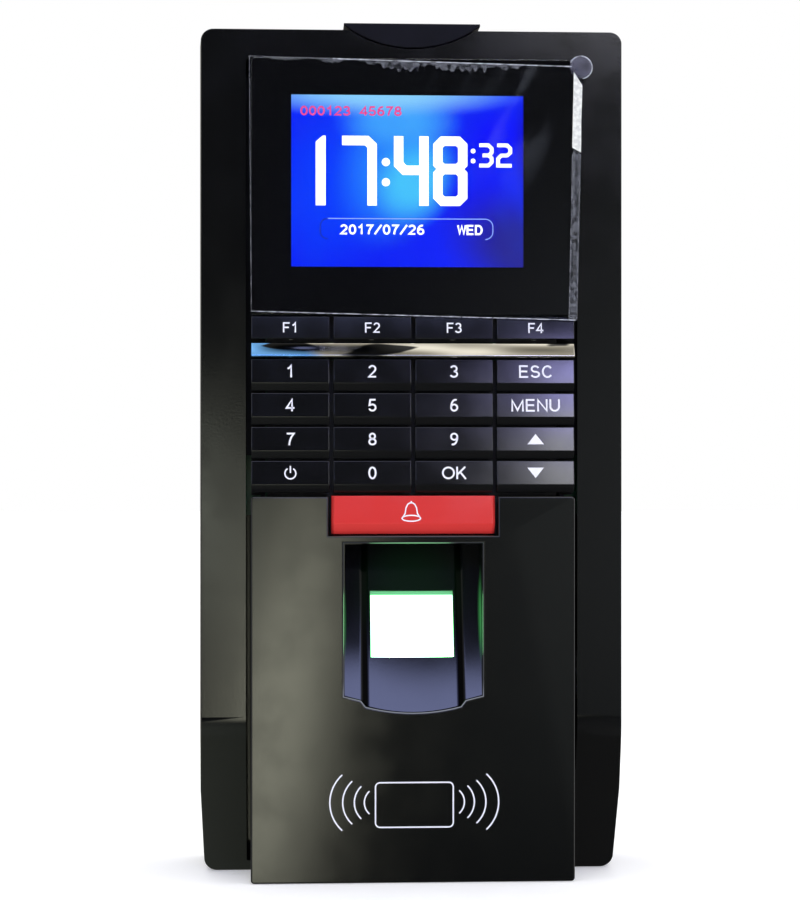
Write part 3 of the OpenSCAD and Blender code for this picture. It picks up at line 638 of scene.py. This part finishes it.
def letters():
    """Width and strokes of each character, as [x, z] lines; a capital is 1 tall and stands on z = 0."""
    low, high = 0.06, 0.94
    six = [oval(0.39, 0.31, 0.25, 0.25), arc(0.5, 0.36, 0.36, 0.58, 75, 180)]
    nine = [[(0.78 - x, 1 - z) for x, z in line] for line in six]
    bowl = arc(0.48, 0.5, 0.37, 0.44, -90, 90)
    return {
        "0": (0.78, [oval(0.39, 0.5, 0.26, 0.44)]),
        "1": (0.78, [[(0.17, 0.7), (0.33, 0.78), (0.45, 0.96), (0.45, 0)]]),
        "2": (0.78, [arc(0.38, 0.69, 0.25, 0.25, 165, -40) + [(0.12, low), (0.68, low)]]),
        "3": (0.78, [arc(0.36, 0.72, 0.23, 0.22, 160, -90), arc(0.36, 0.28, 0.27, 0.22, 90, -160)]),
        "4": (0.78, [[(0.52, 0), (0.52, high), (0.08, 0.27), (0.72, 0.27)]]),
        "5": (0.78, [[(0.64, high), (0.22, high), (0.15, 0.5)] + arc(0.38, 0.31, 0.26, 0.25, 120, -160)]),
        "6": (0.78, six),
        "7": (0.78, [[(0.1, high), (0.66, high), (0.45, 0.62), (0.34, 0.3), (0.3, 0)]]),
        "8": (0.78, [oval(0.39, 0.73, 0.21, 0.21), oval(0.39, 0.28, 0.26, 0.22)]),
        "9": (0.78, nine),
        "C": (1.0, [arc(0.53, 0.5, 0.38, 0.44, 40, 320)]),
        "D": (1.0, [[(0.48, high), (0.16, high), (0.16, low), (0.48, low)] + bowl]),
        "E": (0.93, [[(0.82, low), (0.16, low), (0.16, high), (0.8, high)], [(0.16, 0.51), (0.76, 0.51)]]),
        "F": (0.85, [[(0.16, 0), (0.16, high), (0.74, high)], [(0.16, 0.5), (0.66, 0.5)]]),
        "K": (0.93, [[(0.16, 0), (0.16, 1)], [(0.82, 1), (0.18, 0.36)], [(0.4, 0.58), (0.86, 0)]]),
        "M": (1.16, [[(0.15, 0), (0.15, 0.9), (0.58, 0.1), (1.01, 0.9), (1.01, 0)]]),
        "N": (1.0, [[(0.15, 0), (0.15, 0.93), (0.85, 0.07), (0.85, 1)]]),
        "O": (1.09, [oval(0.545, 0.5, 0.45, 0.44)]),
        "S": (0.93, [arc(0.46, 0.715, 0.28, 0.225, 20, 250) + arc(0.47, 0.275, 0.31, 0.215, 75, -165)]),
        "U": (1.0, [[(0.15, 1), (0.15, 0.4)] + arc(0.5, 0.4, 0.35, 0.34, 180, 360) + [(0.85, 1)]]),
        "W": (1.32, [[(0.06, 1), (0.34, 0.1), (0.66, 0.9), (0.98, 0.1), (1.26, 1)]]),
        "/": (0.5, [[(0.05, 0), (0.45, 1)]]),
        " ": (0.5, []),
    }


def written(text, height, weight=0.145, pitch=None):
    """A bmesh of `text`, centred, its capitals `height` tall; with a pitch, all characters are that wide."""
    bm = bmesh.new()
    known = letters()
    widths = [pitch or known[c][0] for c in text]
    x0 = -sum(widths) / 2
    for character, width in zip(text, widths):
        own_width, lines = known[character]
        stretch = width / own_width
        for line in lines:
            points = [((x0 + x * stretch) * height, (z - 0.5) * height) for x, z in line]
            closed = (Vector(points[0]) - Vector(points[-1])).length < 0.001 * MM
            stroke(bm, points[:-1] if closed else points, weight * height, closed)
        x0 += width
    return bm


# ---------- housing ----------


def dress_cad_nodes():
    for node in NODES:
        NODES[node].material_slots[0].material = FINISHES[slot_of(node)]


def on_front(co):
    return co.y < FRONT + NEAR


def on_wing(co):
    return co.y < WING_Y + NEAR


def on_bend(co):
    """The crease where the wings turn into the slopes at the foot."""
    return on_wing(co) and abs(co.z - BEND_Z) < 0.5 * MM


def on_outline(co):
    """The wings' outer edges and the top edge beside the scoop."""
    at_side = abs(co.x) > 40 * MM
    at_top = co.z > FOOT + 179.5 * MM and abs(co.x) > 13.5 * MM
    return on_wing(co) and (at_side or at_top)


def on_slope(co):
    """The front of the two slopes at the foot."""
    between = FOOT + 0.5 * MM < co.z < BEND_Z + NEAR
    return between and co.y < -17.5 * MM and abs(co.x) > OPENING_X - NEAR


def at_recess(co):
    return on_front(co) and abs(co.x) < 15 * MM and co.z < FOOT + 72 * MM


def off_recess(co):
    return on_front(co) and not at_recess(co)


def housing():
    """Shells, lower panel, dust cover, lens and wall plate with rounded edges."""
    crease = (on_bend, 3.5, math.radians(12))
    softened("front_shell", [crease, (on_outline, 0.9), (on_wing, 0.35), (on_slope, 0.35)])
    softened("lower_panel", [(at_recess, 0.45), (off_recess, 0.35)])
    softened("rear_shell", [(lambda co: co.y > -0.5 * MM, 0.5)])
    softened("usb_cover", [(on_wing, 0.25)], "usb_cover")
    softened("screen_lens", [(on_front, 0.2)])
    softened("wall_plate", [(lambda co: co.y > -NEAR, 0.15)], "wall_plate")


# ---------- keys ----------

KEY_BACK = 3.3 * MM
KEY_TILT = 0.6 * MM
LEGEND_T = 0.025 * MM
DIGIT_BEVEL = (1.64 * MM, 1.1 * MM)
BELL_BEVEL = (2.2 * MM, 1.2 * MM)


def key_cap(node, bevel_size=(0.0, 0.0), side_bevel=0.0):
    """Shows a key with soft edges; bevel_size is the height and depth of the bevel along its foot.

    Returns the matrix that lays a drawing on its leaning face.
    """
    low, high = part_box(node)
    back = low.y + KEY_BACK
    foot = Vector((low.y, low.z + bevel_size[0]))
    top = Vector((low.y + KEY_TILT, high.z))
    profile = [(back, high.z), (back, low.z), foot, top]
    if any(bevel_size):
        profile.insert(2, (low.y + bevel_size[1], low.z))
    bm = prism(profile, low.x, high.x)

    def in_front(co):
        return co.y < back - 0.1 * MM

    def at_side(edge):
        a, b = (v.co for v in edge.verts)
        return in_front(a) and in_front(b) and abs(a.x - b.x) < 0.0001 * MM

    if side_bevel:
        bevel(bm, [e for e in bm.edges if at_side(e)], side_bevel, 1)
    round_edges(bm, in_front, 0.16)
    slot = slot_of(node)
    piece(node + "_cap", bm, FINISHES[slot], node, [node])
    lean = math.atan2(*(top - foot))
    middle = (foot + top) / 2
    centre = ((low.x + high.x) / 2, middle.x, middle.y)
    return Matrix.Translation(centre) @ Matrix.Rotation(-lean, 4, "X")


def legend(node, bm, place):
    thicken(bm, LEGEND_T)
    put(bm, place)
    piece(node + "_legend", bm, FINISHES["legend_white"], node)


def triangle(side):
    """Arrow head that points up (side 1) or down (side -1)."""
    bm = bmesh.new()
    half_w, half_h = 1.75 * MM, 1.1 * MM
    flat(bm, [(-half_w, -side * half_h), (half_w, -side * half_h), (0, side * half_h)])
    return bm


def power_mark():
    """Open ring with a bar through its gap."""
    bm = bmesh.new()
    radius, width = 1.15 * MM, 0.3 * MM
    stroke(bm, arc(0, -0.1 * MM, radius, radius, 120, 420), width)
    stroke(bm, [(0, 0), (0, 1.5 * MM)], width)
    return bm


def bell_mark():
    """Line drawing of a bell: domed body, open rim and a knob."""
    bm = bmesh.new()
    width = 0.26 * MM
    dome, knob = 1.85, 2.25
    left_side = [(-1.8, -1.15), (-1.3, -0.4), (-1.12, 0.8), (-0.75, 1.55), (-0.3, dome)]
    points = left_side + [(-x, z) for x, z in reversed(left_side)]
    stroke(bm, [(x * MM, z * MM) for x, z in points], width)
    stroke(bm, arc(0, -1.4 * MM, 1.95 * MM, 0.62 * MM, 0, 360, 32)[:-1], width, closed=True)
    stroke(bm, [(0, dome * MM), (0, knob * MM)], width)
    return bm


def keypad():
    """All keys with their legends."""
    words = {
        "key_1": "1", "key_2": "2", "key_3": "3", "key_esc": "ESC", "key_4": "4", "key_5": "5", "key_6": "6",
        "key_menu": "MENU", "key_7": "7", "key_8": "8", "key_9": "9", "key_0": "0", "key_ok": "OK",
    }
    marks = {"key_up": triangle(1), "key_down": triangle(-1), "key_power": power_mark()}
    for node, text in words.items():
        legend(node, written(text, 2.62 * MM), key_cap(node, DIGIT_BEVEL))
    for node, mark in marks.items():
        legend(node, mark, key_cap(node, DIGIT_BEVEL))
    for number in range(1, 5):
        node = f"key_f{number}"
        legend(node, written(f"F{number}", 2.15 * MM), key_cap(node))
    drawing = put(bell_mark(), (-0.45 * MM, 0, -0.4 * MM))
    legend("key_bell", drawing, key_cap("key_bell", BELL_BEVEL, 0.6))


def chrome_bar():
    """Bar whose flat polished face leans back between two narrow bevels."""
    low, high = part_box("chrome_trim")
    foot_bevel = 0.35 * MM
    top_bevel = (0.3 * MM, 0.25 * MM)
    face_top = low.y + 1.05 * MM
    profile = [
        (high.y, high.z),
        (high.y, low.z),
        (low.y + foot_bevel, low.z),
        (low.y, low.z + foot_bevel),
        (face_top, high.z - top_bevel[1]),
        (face_top + top_bevel[0], high.z),
    ]
    bm = prism(profile, low.x, high.x)
    round_edges(bm, lambda co: co.y < high.y - 0.1 * MM, 0.22)
    piece("chrome_bar", bm, FINISHES["chrome"], TERMINAL, ["chrome_trim"])


# ---------- screen ----------


def lens_print():
    """Black print in the back of the lens round the screen."""
    margin = 0.2 * MM
    across = (LENS_LOW.x + margin, LENS_HIGH.x - margin)
    upright = (LENS_LOW.z + margin, LENS_HIGH.z - margin)
    bm = bmesh.new()
    frame_face(bm, rectangle(across, upright), rectangle(PICTURE_X, PICTURE_Z))
    thicken(bm, 2 * PRINT_T)
    put(bm, (0, LENS_HIGH.y - PRINT_T, 0))
    piece("lens_print", bm, MASK_BLACK, TERMINAL)


def on_screen(name, bm, finish):
    """Shows a drawing made of lit pixels just in front of the picture."""
    thicken(bm, PRINT_T)
    put(bm, (0, SCREEN_Y - PRINT_T, 0))
    piece(name, bm, FINISHES[finish], TERMINAL)


def draw_line(bm, points, width, closed=False):
    """Adds a line through [x, z] points, all in mm; z counts from the foot."""
    stroke(bm, [(x * MM, FOOT + z * MM) for x, z in points], width * MM, closed)


def draw_dot(bm, x, z, radius):
    """Adds a dot, in mm; z counts from the foot."""
    flat(bm, disc(x * MM, FOOT + z * MM, radius * MM, 24))


def cut_loop(left, right, low, high, cut):
    """Closed [x, z] loop with its corners cut off."""
    return [(left + cut, low), (right - cut, low), (right, low + cut), (right, high - cut),
            (right - cut, high), (left + cut, high), (left, high - cut), (left, low + cut)]


def clock_digits():
    """Tall digits: one, seven, colon, four and eight, from left to right."""
    bm = bmesh.new()
    width = 2.0
    low, high = 142.65, 157.35
    low_line, high_line = low + width / 2, high - width / 2
    one = [(-20.55, low), (-18.45, low), (-18.45, high), (-19.1, high), (-20.55, high - 1.3)]
    flat(bm, [(x * MM, FOOT + z * MM) for x, z in one])
    draw_line(bm, [(-15, high_line), (-9.8, high_line), (-8.65, high_line - 1.1), (-8.65, low)], width)
    draw_line(bm, [(-3.05, high), (-3.05, 151.4), (-1.8, 150.15), (2.25, 150.15)], width)
    draw_line(bm, [(2.3, high), (2.3, low)], width)
    draw_line(bm, cut_loop(5.25, 10.5, 150.55, high_line, 1), width, closed=True)
    draw_line(bm, cut_loop(5.25, 10.5, low_line, 150.35, 1), width, closed=True)
    for z in (147.6, 151.85):
        draw_dot(bm, -5.75, z, 0.87)
    return bm


def second_digits():
    """Small colon and the digits three and two, raised beside the clock."""
    bm = bmesh.new()
    width = 0.78
    low, middle, high = 151.25, 153.4, 155.55
    cut = 0.7
    left, right = 14.0, 16.65
    upper = [(left, high), (right - cut, high), (right, high - cut), (right, middle + 0.6)]
    lower = [(right, middle - 0.6), (right, low + cut), (right - cut, low), (left, low)]
    draw_line(bm, upper + [(right - 0.6, middle)] + lower, width)
    draw_line(bm, [(left + cut, middle), (right - 0.5, middle)], width)
    left, right = 18.0, 20.6
    upper = [(left - 0.2, high), (right - cut, high), (right, high - cut), (right, middle + 0.6)]
    lower = [(left + cut, middle), (left, middle - cut), (left, low), (right + 0.3, low)]
    draw_line(bm, upper + [(right - cut, middle)] + lower, width)
    for z in (152.2, 154.3):
        draw_dot(bm, 12.7, z, 0.5)
    return bm


def screen():
    """The print round the picture and all that is written on it."""
    lens_print()
    on_screen("screen_clock", clock_digits(), "screen_white")
    on_screen("screen_seconds", second_digits(), "screen_white")
    for name, text, x, z, height, finish in (
        ("screen_date", "2017/07/26", -6.5, 137.6, 2.0, "screen_white"),
        ("screen_day", "WED", 12.1, 137.6, 2.0, "screen_white"),
        ("screen_status", "000123 45678", -13.1, 162.6, 1.9, "screen_red"),
    ):
        pitch = 1.8 / height
        on_screen(name, put(written(text, height * MM, 0.2, pitch), (x * MM, 0, FOOT + z * MM)), finish)
    outline = round_box(-1.35 * MM, FOOT + 137.75 * MM, 36.5 * MM, 4.3 * MM, 1.6 * MM)
    corner = CORNER_STEPS + 1
    right_side = outline[-corner:] + outline[:corner + 1]
    left_side = outline[corner:-corner]
    for name, points, width, finish in (
        ("screen_field", right_side, 0.2, "screen_line"),
        ("screen_field_shade", left_side, 0.16, "lcd_image_dim"),
    ):
        bm = bmesh.new()
        stroke(bm, points, width * MM)
        on_screen(name, bm, finish)


# ---------- film ----------

# The film is stuck on askew: its corners are [x, z], from the lens's middle and its lower edge
LENS_HALF = (LENS_HIGH.x - LENS_LOW.x) / 2
LENS_FOOT = FOOT + 119.5 * MM
FILM_LOW_LEFT = Vector((-LENS_HALF - 0.1 * MM, LENS_FOOT + 0.6 * MM))
FILM_LOW_RIGHT = Vector((LENS_HALF + 0.6 * MM, LENS_FOOT - 1.1 * MM))
FILM_TOP_RIGHT = Vector((LENS_HALF + 1.8 * MM, LENS_FOOT + 52.6 * MM))
FILM_TOP_LEFT = Vector((-LENS_HALF - 0.5 * MM, LENS_FOOT + 54.3 * MM))
FILM_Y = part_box("protective_film")[0].y
TAB_CENTRE = (LENS_HALF + 1.3 * MM, LENS_FOOT + 52.4 * MM)
TAB_R = 2.5 * MM

# Trapped air under the film's upper edge: start and end as shares of its width, and depth in mm
AIR_PATCHES = [
    (0.05, 0.16, 0.8),
    (0.2, 0.3, 0.9),
    (0.33, 0.56, 2.6),
    (0.54, 0.64, 2.2),
    (0.61, 0.74, 3.0),
    (0.73, 0.82, 1.2),
]

# The strip that stands out past the lens: limits and the width of its rims as shares of the film's width,
# and where its pale part, a painted reflection, ends at the left and at the right, in mm from the film's
# upper edge
STRIP_LEFT, STRIP_RIGHT = 0.972, 0.999
STRIP_RIM = 0.004
PALE_END_LEFT, PALE_END_RIGHT = 17.2, 18.2
FILM_FOOT = 53.4


def on_film(across, down):
    """[x, z] of a place on the film: `across` from 0 at its left to 1, `down` in mm from its upper edge."""
    along_top = FILM_TOP_LEFT.lerp(FILM_TOP_RIGHT, across)
    along_foot = FILM_LOW_LEFT.lerp(FILM_LOW_RIGHT, across)
    return along_top + (along_foot - along_top).normalized() * down * MM


def torn_patch(rng, start, end, depth):
    """Outline of trapped air: straight along the film's upper edge, torn below, at most `depth` mm deep."""
    steps = max(3, round((end - start) * 140))
    torn = []
    for i in range(1, steps):
        reach = depth * rng.uniform(0.15, 1.0) * math.sin(math.pi * i / steps)
        torn.append(on_film(start + (end - start) * i / steps, 0.35 + reach))
    return [on_film(start, 0.3)] + torn + [on_film(end, 0.3)]


def on_film_face(name, bm, made, thickness=0.02):
    """Shows a drawing in the front face of the film."""
    thicken(bm, thickness * MM)
    put(bm, (0, FILM_Y + 0.06 * MM, 0))
    piece(name, bm, made, TERMINAL)


def film_rims():
    """Painted highlights on the film's edges: bright on the upper and lower ones, dim on the left one and
    those of the strip.
    """
    bright = bmesh.new()
    stroke(bright, [on_film(0.25, 0.1), on_film(0.965, 0.1)], 0.2 * MM)
    stroke(bright, [on_film(0.002, 53.6), on_film(0.995, 53.6)], 0.16 * MM)
    on_film_face("film_rim", bright, FILM_EDGE_HIGHLIGHT)
    dim = bmesh.new()
    stroke(dim, [on_film(0.002, FILM_FOOT), on_film(0.002, 0.1), on_film(0.25, 0.1)], 0.16 * MM)
    for across in (STRIP_LEFT + STRIP_RIM / 2, STRIP_RIGHT - STRIP_RIM / 2):
        stroke(dim, [on_film(across, FILM_FOOT), on_film(across, PALE_END_RIGHT + 0.3)], 0.26 * MM)
    on_film_face("film_dim_rim_highlight", dim, FILM_DIM_HIGHLIGHT)


def film_tab():
    """Round pull tab with a painted highlight on its edge where it stands off the lens."""
    rim = bmesh.new()
    rim_r = TAB_R - 0.1 * MM
    stroke(rim, arc(*TAB_CENTRE, rim_r, rim_r, -80, 155, 40), 0.17 * MM)
    on_film_face("film_tab_rim_highlight", rim, FILM_EDGE_HIGHLIGHT)
    tab = bmesh.new()
    flat(tab, disc(*TAB_CENTRE, TAB_R - 0.2 * MM, 48))
    on_film_face("film_tab", tab, FILM_TAB)


def film_air(rng):
    """Trapped air along the film's upper edge."""
    bm = bmesh.new()
    for start, end, depth in AIR_PATCHES:
        flat(bm, torn_patch(rng, start, end, depth))
    on_film_face("film_air", bm, FILM_AIR, 0.01)


def film_strips(rng):
    """The strip past the lens: a painted reflection, pale and a little torn above; grey below."""
    pale = bmesh.new()
    torn = [on_film(STRIP_RIGHT - 0.002 * rng.uniform(0, 1), down) for down in range(4, 18, 2)]
    end = [on_film(STRIP_RIGHT, PALE_END_RIGHT), on_film(STRIP_LEFT, PALE_END_LEFT)]
    flat(pale, [on_film(STRIP_LEFT, 1.2)] + torn + end)
    on_film_face("film_strip", pale, FILM_STRIP_REFLECTION)
    grey = bmesh.new()
    left, right = STRIP_LEFT + STRIP_RIM, STRIP_RIGHT - STRIP_RIM
    foot = [on_film(left, FILM_FOOT), on_film(right, FILM_FOOT)]
    flat(grey, foot + [on_film(right, PALE_END_RIGHT + 0.1), on_film(left, PALE_END_LEFT + 0.3)])
    on_film_face("film_strip_grey", grey, FILM_AIR)


def film():
    """The film itself, its trapped air, and the painted highlights and painted reflection on it."""
    rng = random.Random(7)
    softened("protective_film", [])
    film_rims()
    film_tab()
    film_air(rng)
    film_strips(rng)


# ---------- finger recess ----------

# The lip dips in the middle, rises in a step to a shelf on either side and from there to the side wall
LIP_FOOT = FOOT + 37.2 * MM
LIP_RISE = 2.2 * MM
STEP_RISE = 1.3 * MM
STEP_X, SHELF_X, WALL_X = 9.6 * MM, 11 * MM, 14.5 * MM
TRAY_Y = FRONT + 0.47 * MM
TRAY_WALL = 0.6 * MM

# The floor leans back: `UP` goes up along it and `OUT` stands on it
RECESS_ANGLE = math.radians(17.88)
UP = Vector((0, math.sin(RECESS_ANGLE), math.cos(RECESS_ANGLE)))
OUT = Vector((0, -math.cos(RECESS_ANGLE), math.sin(RECESS_ANGLE)))

# The floor's grid, in mm: columns to either side of the middle, closest at the steps, and rows up the floor,
# two of them along the window's edges
COLUMNS = (2, 4, 6, 7.5, 8.9, 9.35, 9.6, 9.85, 10.3, 10.75, 11, 11.3, 12, 13, 14.5)
ROWS = (1.4, 3, 5, 7, 8.45, 11, 14, 17, 20, 23, 26, 28.5)
WINDOW_T = (ROWS[4] * MM, ROWS[9] * MM)
HOLE_DEPTH = 1.2 * MM


def lip_height(x):
    """Height of the recess's lower lip over LIP_FOOT."""
    side = abs(x)
    if side > SHELF_X:
        return LIP_RISE - (WALL_X - side) / (WALL_X - SHELF_X) * (LIP_RISE - STEP_RISE)
    if side > STEP_X:
        return (side - STEP_X) / (SHELF_X - STEP_X) * STEP_RISE
    return -STEP_RISE * (1 - (side / STEP_X) ** 2)


def below_shelf(x):
    """How far the tray's floor at x lies below its floor at the side walls."""
    return (LIP_RISE - lip_height(x)) * math.sin(RECESS_ANGLE)


def on_floor(x, t):
    """A place on the tray's floor: `t` metres up from its highest lip."""
    return Vector((x, TRAY_Y, LIP_FOOT + LIP_RISE)) + UP * t - OUT * below_shelf(x)


def tray_column(x):
    """Points of the tray at x, from its rounded lip up the floor to the roof."""
    start = -below_shelf(x) / math.tan(RECESS_ANGLE)
    rise = RECESS_TOP - LIP_FOOT - LIP_RISE + below_shelf(x) * math.sin(RECESS_ANGLE)
    lip_front = Vector((x, TRAY_Y, LIP_FOOT + lip_height(x)))
    lip_middle = lip_front.lerp(on_floor(x, start + 0.2 * MM), 0.55)
    lip_back = on_floor(x, start + 0.7 * MM)
    rows = [on_floor(x, t * MM) for t in ROWS]
    roof = on_floor(x, rise / math.cos(RECESS_ANGLE))
    return [lip_front, lip_middle, lip_back, *rows, roof]


def in_window(xs, bottom):
    """Whether the face between two columns, over the point `bottom`, lies in the window's hole."""
    low, high = (on_floor(xs[0], t).z - 0.1 * MM for t in WINDOW_T)
    return max(abs(x) for x in xs) < WINDOW_HALF + NEAR and low < bottom.z < high


def tray_floor(bm):
    """Adds the leaning floor with the window's hole; gives its columns of vertices."""
    xs = [-x * MM for x in reversed(COLUMNS)] + [0.0] + [x * MM for x in COLUMNS]
    grid = [[bm.verts.new(point) for point in tray_column(x)] for x in xs]
    for i in range(len(xs) - 1):
        left, right = grid[i], grid[i + 1]
        for j in range(len(left) - 1):
            if not in_window(xs[i:i + 2], left[j].co):
                bm.faces.new((left[j], right[j], right[j + 1], left[j + 1]))
    return grid


def tray_walls(bm, grid):
    """Adds the side walls and the roof, straight from the floor's edges to the front."""

    def at_front(verts):
        return [bm.verts.new((v.co.x, TRAY_Y, v.co.z)) for v in verts]

    for column in (grid[0], grid[-1]):
        front = [column[0]] + at_front(column[1:])
        for j in range(len(column) - 1):
            corners = (column[j], column[j + 1], front[j + 1], front[j])
            bm.faces.new(list(dict.fromkeys(corners)))
    roof = [column[-1] for column in grid]
    front = at_front(roof)
    for i in range(len(roof) - 1):
        bm.faces.new((roof[i], roof[i + 1], front[i + 1], front[i]))
    bmesh.ops.remove_doubles(bm, verts=bm.verts, dist=0.001 * MM)


def sink_hole(bm):
    """Gives the window's hole its walls."""
    low, high = (on_floor(0, t).z for t in (WINDOW_T[0] - MM, WINDOW_T[1] + MM))

    def at_hole(co):
        return abs(co.x) < WINDOW_HALF + 0.01 * MM and low < co.z < high

    hole = [e for e in bm.edges if len(e.link_faces) == 1 and all(at_hole(v.co) for v in e.verts)]
    move_new(bm, bmesh.ops.extrude_edge_only(bm, edges=hole), -OUT * HOLE_DEPTH)


def recess_tray():
    """Polished tray: leaning floor with shelves, steps and window hole, side walls and roof."""
    bm = bmesh.new()
    tray_walls(bm, tray_floor(bm))
    sink_hole(bm)
    tray = piece("recess_tray", bm, FINISHES["bezel_gloss"], TERMINAL, ["sensor_bezel"])
    wall = tray.modifiers.new("wall", "SOLIDIFY")
    wall.thickness = TRAY_WALL
    wall.offset = -1.0


def sensor_window():
    """Lit block of the sensor, sunk in the tray's hole."""
    low, high = WINDOW_T
    play, depth = 0.1 * MM, 2 * MM
    size = Matrix.Diagonal((2 * WINDOW_HALF - play, high - low - play, 1, 1))
    tilt = Matrix.Rotation(math.radians(90) - RECESS_ANGLE, 4, "X")
    below_walls = 1.35 * MM
    centre = on_floor(0, (low + high) / 2) + OUT * (below_shelf(0) - below_walls)
    bm = bmesh.new()
    bmesh.ops.create_grid(bm, x_segments=6, y_segments=6, size=0.5)
    put(bm, Matrix.Translation(centre) @ tilt @ size)
    move_new(bm, bmesh.ops.extrude_face_region(bm, geom=list(bm.faces)), -OUT * depth)
    piece("sensor_window", bm, FINISHES["lit_prism"], TERMINAL, ["sensor_prism"])


# ---------- printed marks ----------

# Waves of the card mark, in mm from the card's middle: where their ends are, their bulge and half height
WAVES = [(9.45, 10.55, 2.4), (11.2, 12.65, 3.4), (13.1, 15.1, 4.5), (15.2, 17.8, 5.85)]


def card_mark():
    """Card outline with four waves on either side."""
    bm = bmesh.new()
    width = 0.3 * MM
    x0, z0 = 0.2 * MM, FOOT + 16.4 * MM
    wave_z = z0 + 0.55 * MM
    stroke(bm, round_box(x0, z0, 16.4 * MM, 9.4 * MM, 0.95 * MM), width, closed=True)
    for wave in WAVES:
        points = arc_through(*(value * MM for value in wave))
        for side in (-1, 1):
            stroke(bm, [(x0 + side * x, wave_z + z) for x, z in points], width)
    thicken(bm, PRINT_T)
    put(bm, (0, FRONT + 0.005 * MM, 0))
    piece("card_mark", bm, FINISHES["legend_white"], TERMINAL)


# ---------- studio ----------

# Soft patches that the glossy front mirrors, in degrees: azimuth, elevation, half width, half height, lean,
# the shares of both halves that stay at full strength, and the colour
PATCHES = [
    (-0.3, -6.7, 2.1, 10.0, 0.18, 0.05, 0.05, (5.5, 5.5, 4.3)),
    (-2.6, -1.7, 1.7, 4.2, 0.0, 0.0, 0.0, (3.7, 3.9, 3.2)),
    (-8.0, -36.0, 12.0, 25.0, 0.0, 0.0, 0.5, (0.58, 0.66, 0.5)),
    (13.0, 15.4, 7.7, 1.5, 0.0, 0.72, 0.3, (9.2, 8.8, 19.0)),
    (13.0, 12.9, 7.7, 2.0, 0.0, 0.72, 0.45, (8.8, 8.9, 9.3)),
    (9.0, -1.0, 8.0, 13.0, 0.0, 0.0, 0.0, (0.26, 0.28, 0.28)),
    (3.0, 24.9, 24.0, 5.8, 0.0, 0.35, 0.84, (2.9, 3.3, 6.2)),
]

# Large lights to either side, in degrees: azimuth, elevation, half width, half height, and the colour
SIDE_LIGHTS = [
    (75.0, 10.0, 40.0, 45.0, (1.6, 1.6, 1.7)),
    (-75.0, 10.0, 40.0, 45.0, (0.5, 0.55, 0.65)),
]


def sine(degrees):
    return math.sin(math.radians(degrees))


def direction(azimuth, elevation):
    """Unit vector from the terminal's front; azimuth 0 is straight ahead and positive to the right."""
    a, e = math.radians(azimuth), math.radians(elevation)
    return (math.sin(a) * math.cos(e), -math.cos(a) * math.cos(e), math.sin(e))


def room(n, toward, height):
    """A pale room with a dark floor and a bright ceiling, dark straight ahead; `height` is toward's z."""
    ahead = n.spot(toward, direction(0, 0), (sine(42), 1, sine(42)), 0, 0.85)
    light = n.mix(ahead, rgba((0.34, 0.33, 0.3)), rgba((0.04, 0.043, 0.05)))
    light = n.mix(n.ramp(height, -0.5, -0.2, 1.0, 0.0), light, rgba((0.1, 0.1, 0.1)))
    ceiling = n.ramp(height, sine(38), sine(64))
    light = n.mix(ceiling, light, rgba((1.0, 1.0, 1.0)))
    return n.add("VectorMath", {0: light, "Scale": n.plus(ceiling, 1.0)}, operation="SCALE").outputs[0]


def studio():
    """The room, the patches that the front mirrors, the side lights, and white for the camera."""
    world = bpy.data.worlds.new("studio")
    bpy.context.scene.world = world
    world.use_nodes = True
    n = Nodes(world.node_tree)
    toward = n.add("TexCoord").outputs["Generated"]
    x, y, height = n.split(toward)
    in_front = n.ramp(y, -0.3, -0.1, 1.0, 0.0)
    total = room(n, toward, height)
    for azimuth, elevation, wide, tall, lean, core_x, core_z, color in PATCHES:
        raised = n.math("SUBTRACT", height, sine(elevation))
        across = n.band(n.math("SUBTRACT", x, n.times(raised, lean)), sine(azimuth), sine(wide), core_x)
        upward = n.band(height, sine(elevation), sine(elevation + tall) - sine(elevation), core_z)
        total = n.add_light(total, color, n.times(in_front, n.times(across, upward)))
    for azimuth, elevation, wide, tall, color in SIDE_LIGHTS:
        light = n.spot(toward, direction(azimuth, elevation), (sine(wide), 1, sine(tall)))
        total = n.add_light(total, color, light)
    seen = n.add("LightPath").outputs["Is Camera Ray"]
    background = world.node_tree.nodes["Background"]
    n.feed(background, {"Color": n.mix(seen, total, rgba((1.0, 1.0, 1.0)))})


def floor():
    """White paper just below the terminal."""
    bm = bmesh.new()
    bmesh.ops.create_grid(bm, x_segments=4, y_segments=4, size=3.0)
    put(bm, (0, 0, cad_bounds[0].z - 0.1 * MM))
    paper = surface("floor_paper", (0.92, 0.92, 0.92), 0.9, mottle=0.01)
    n, shader = tools(paper)
    n.feed(shader, {"Emission Color": rgba((1.0, 1.0, 1.0)), "Emission Strength": 0.25})
    obj = shown("floor", bm, paper)
    obj.visible_glossy = False


def camera():
    """Half a metre in front of the terminal and a little to its left, level with its middle."""
    middle = Vector((0, -18 * MM, 0))
    data = bpy.data.cameras.new("camera")
    data.sensor_width = 36
    data.lens = 91.6
    data.shift_x = -0.01
    data.shift_y = 0.0031
    data.clip_start = 0.01
    data.clip_end = 20
    obj = bpy.data.objects.new("camera", data)
    bpy.context.scene.collection.objects.link(obj)
    obj.location = middle + Vector(direction(-3, 0)) * 500 * MM
    obj.rotation_euler = (middle - obj.location).to_track_quat("-Z", "Y").to_euler()
    bpy.context.scene.camera = obj
    bpy.context.scene.view_settings.view_transform = "Standard"


dress_cad_nodes()
housing()
keypad()
chrome_bar()
screen()
film()
recess_tray()
sensor_window()
card_mark()
studio()
floor()
camera()
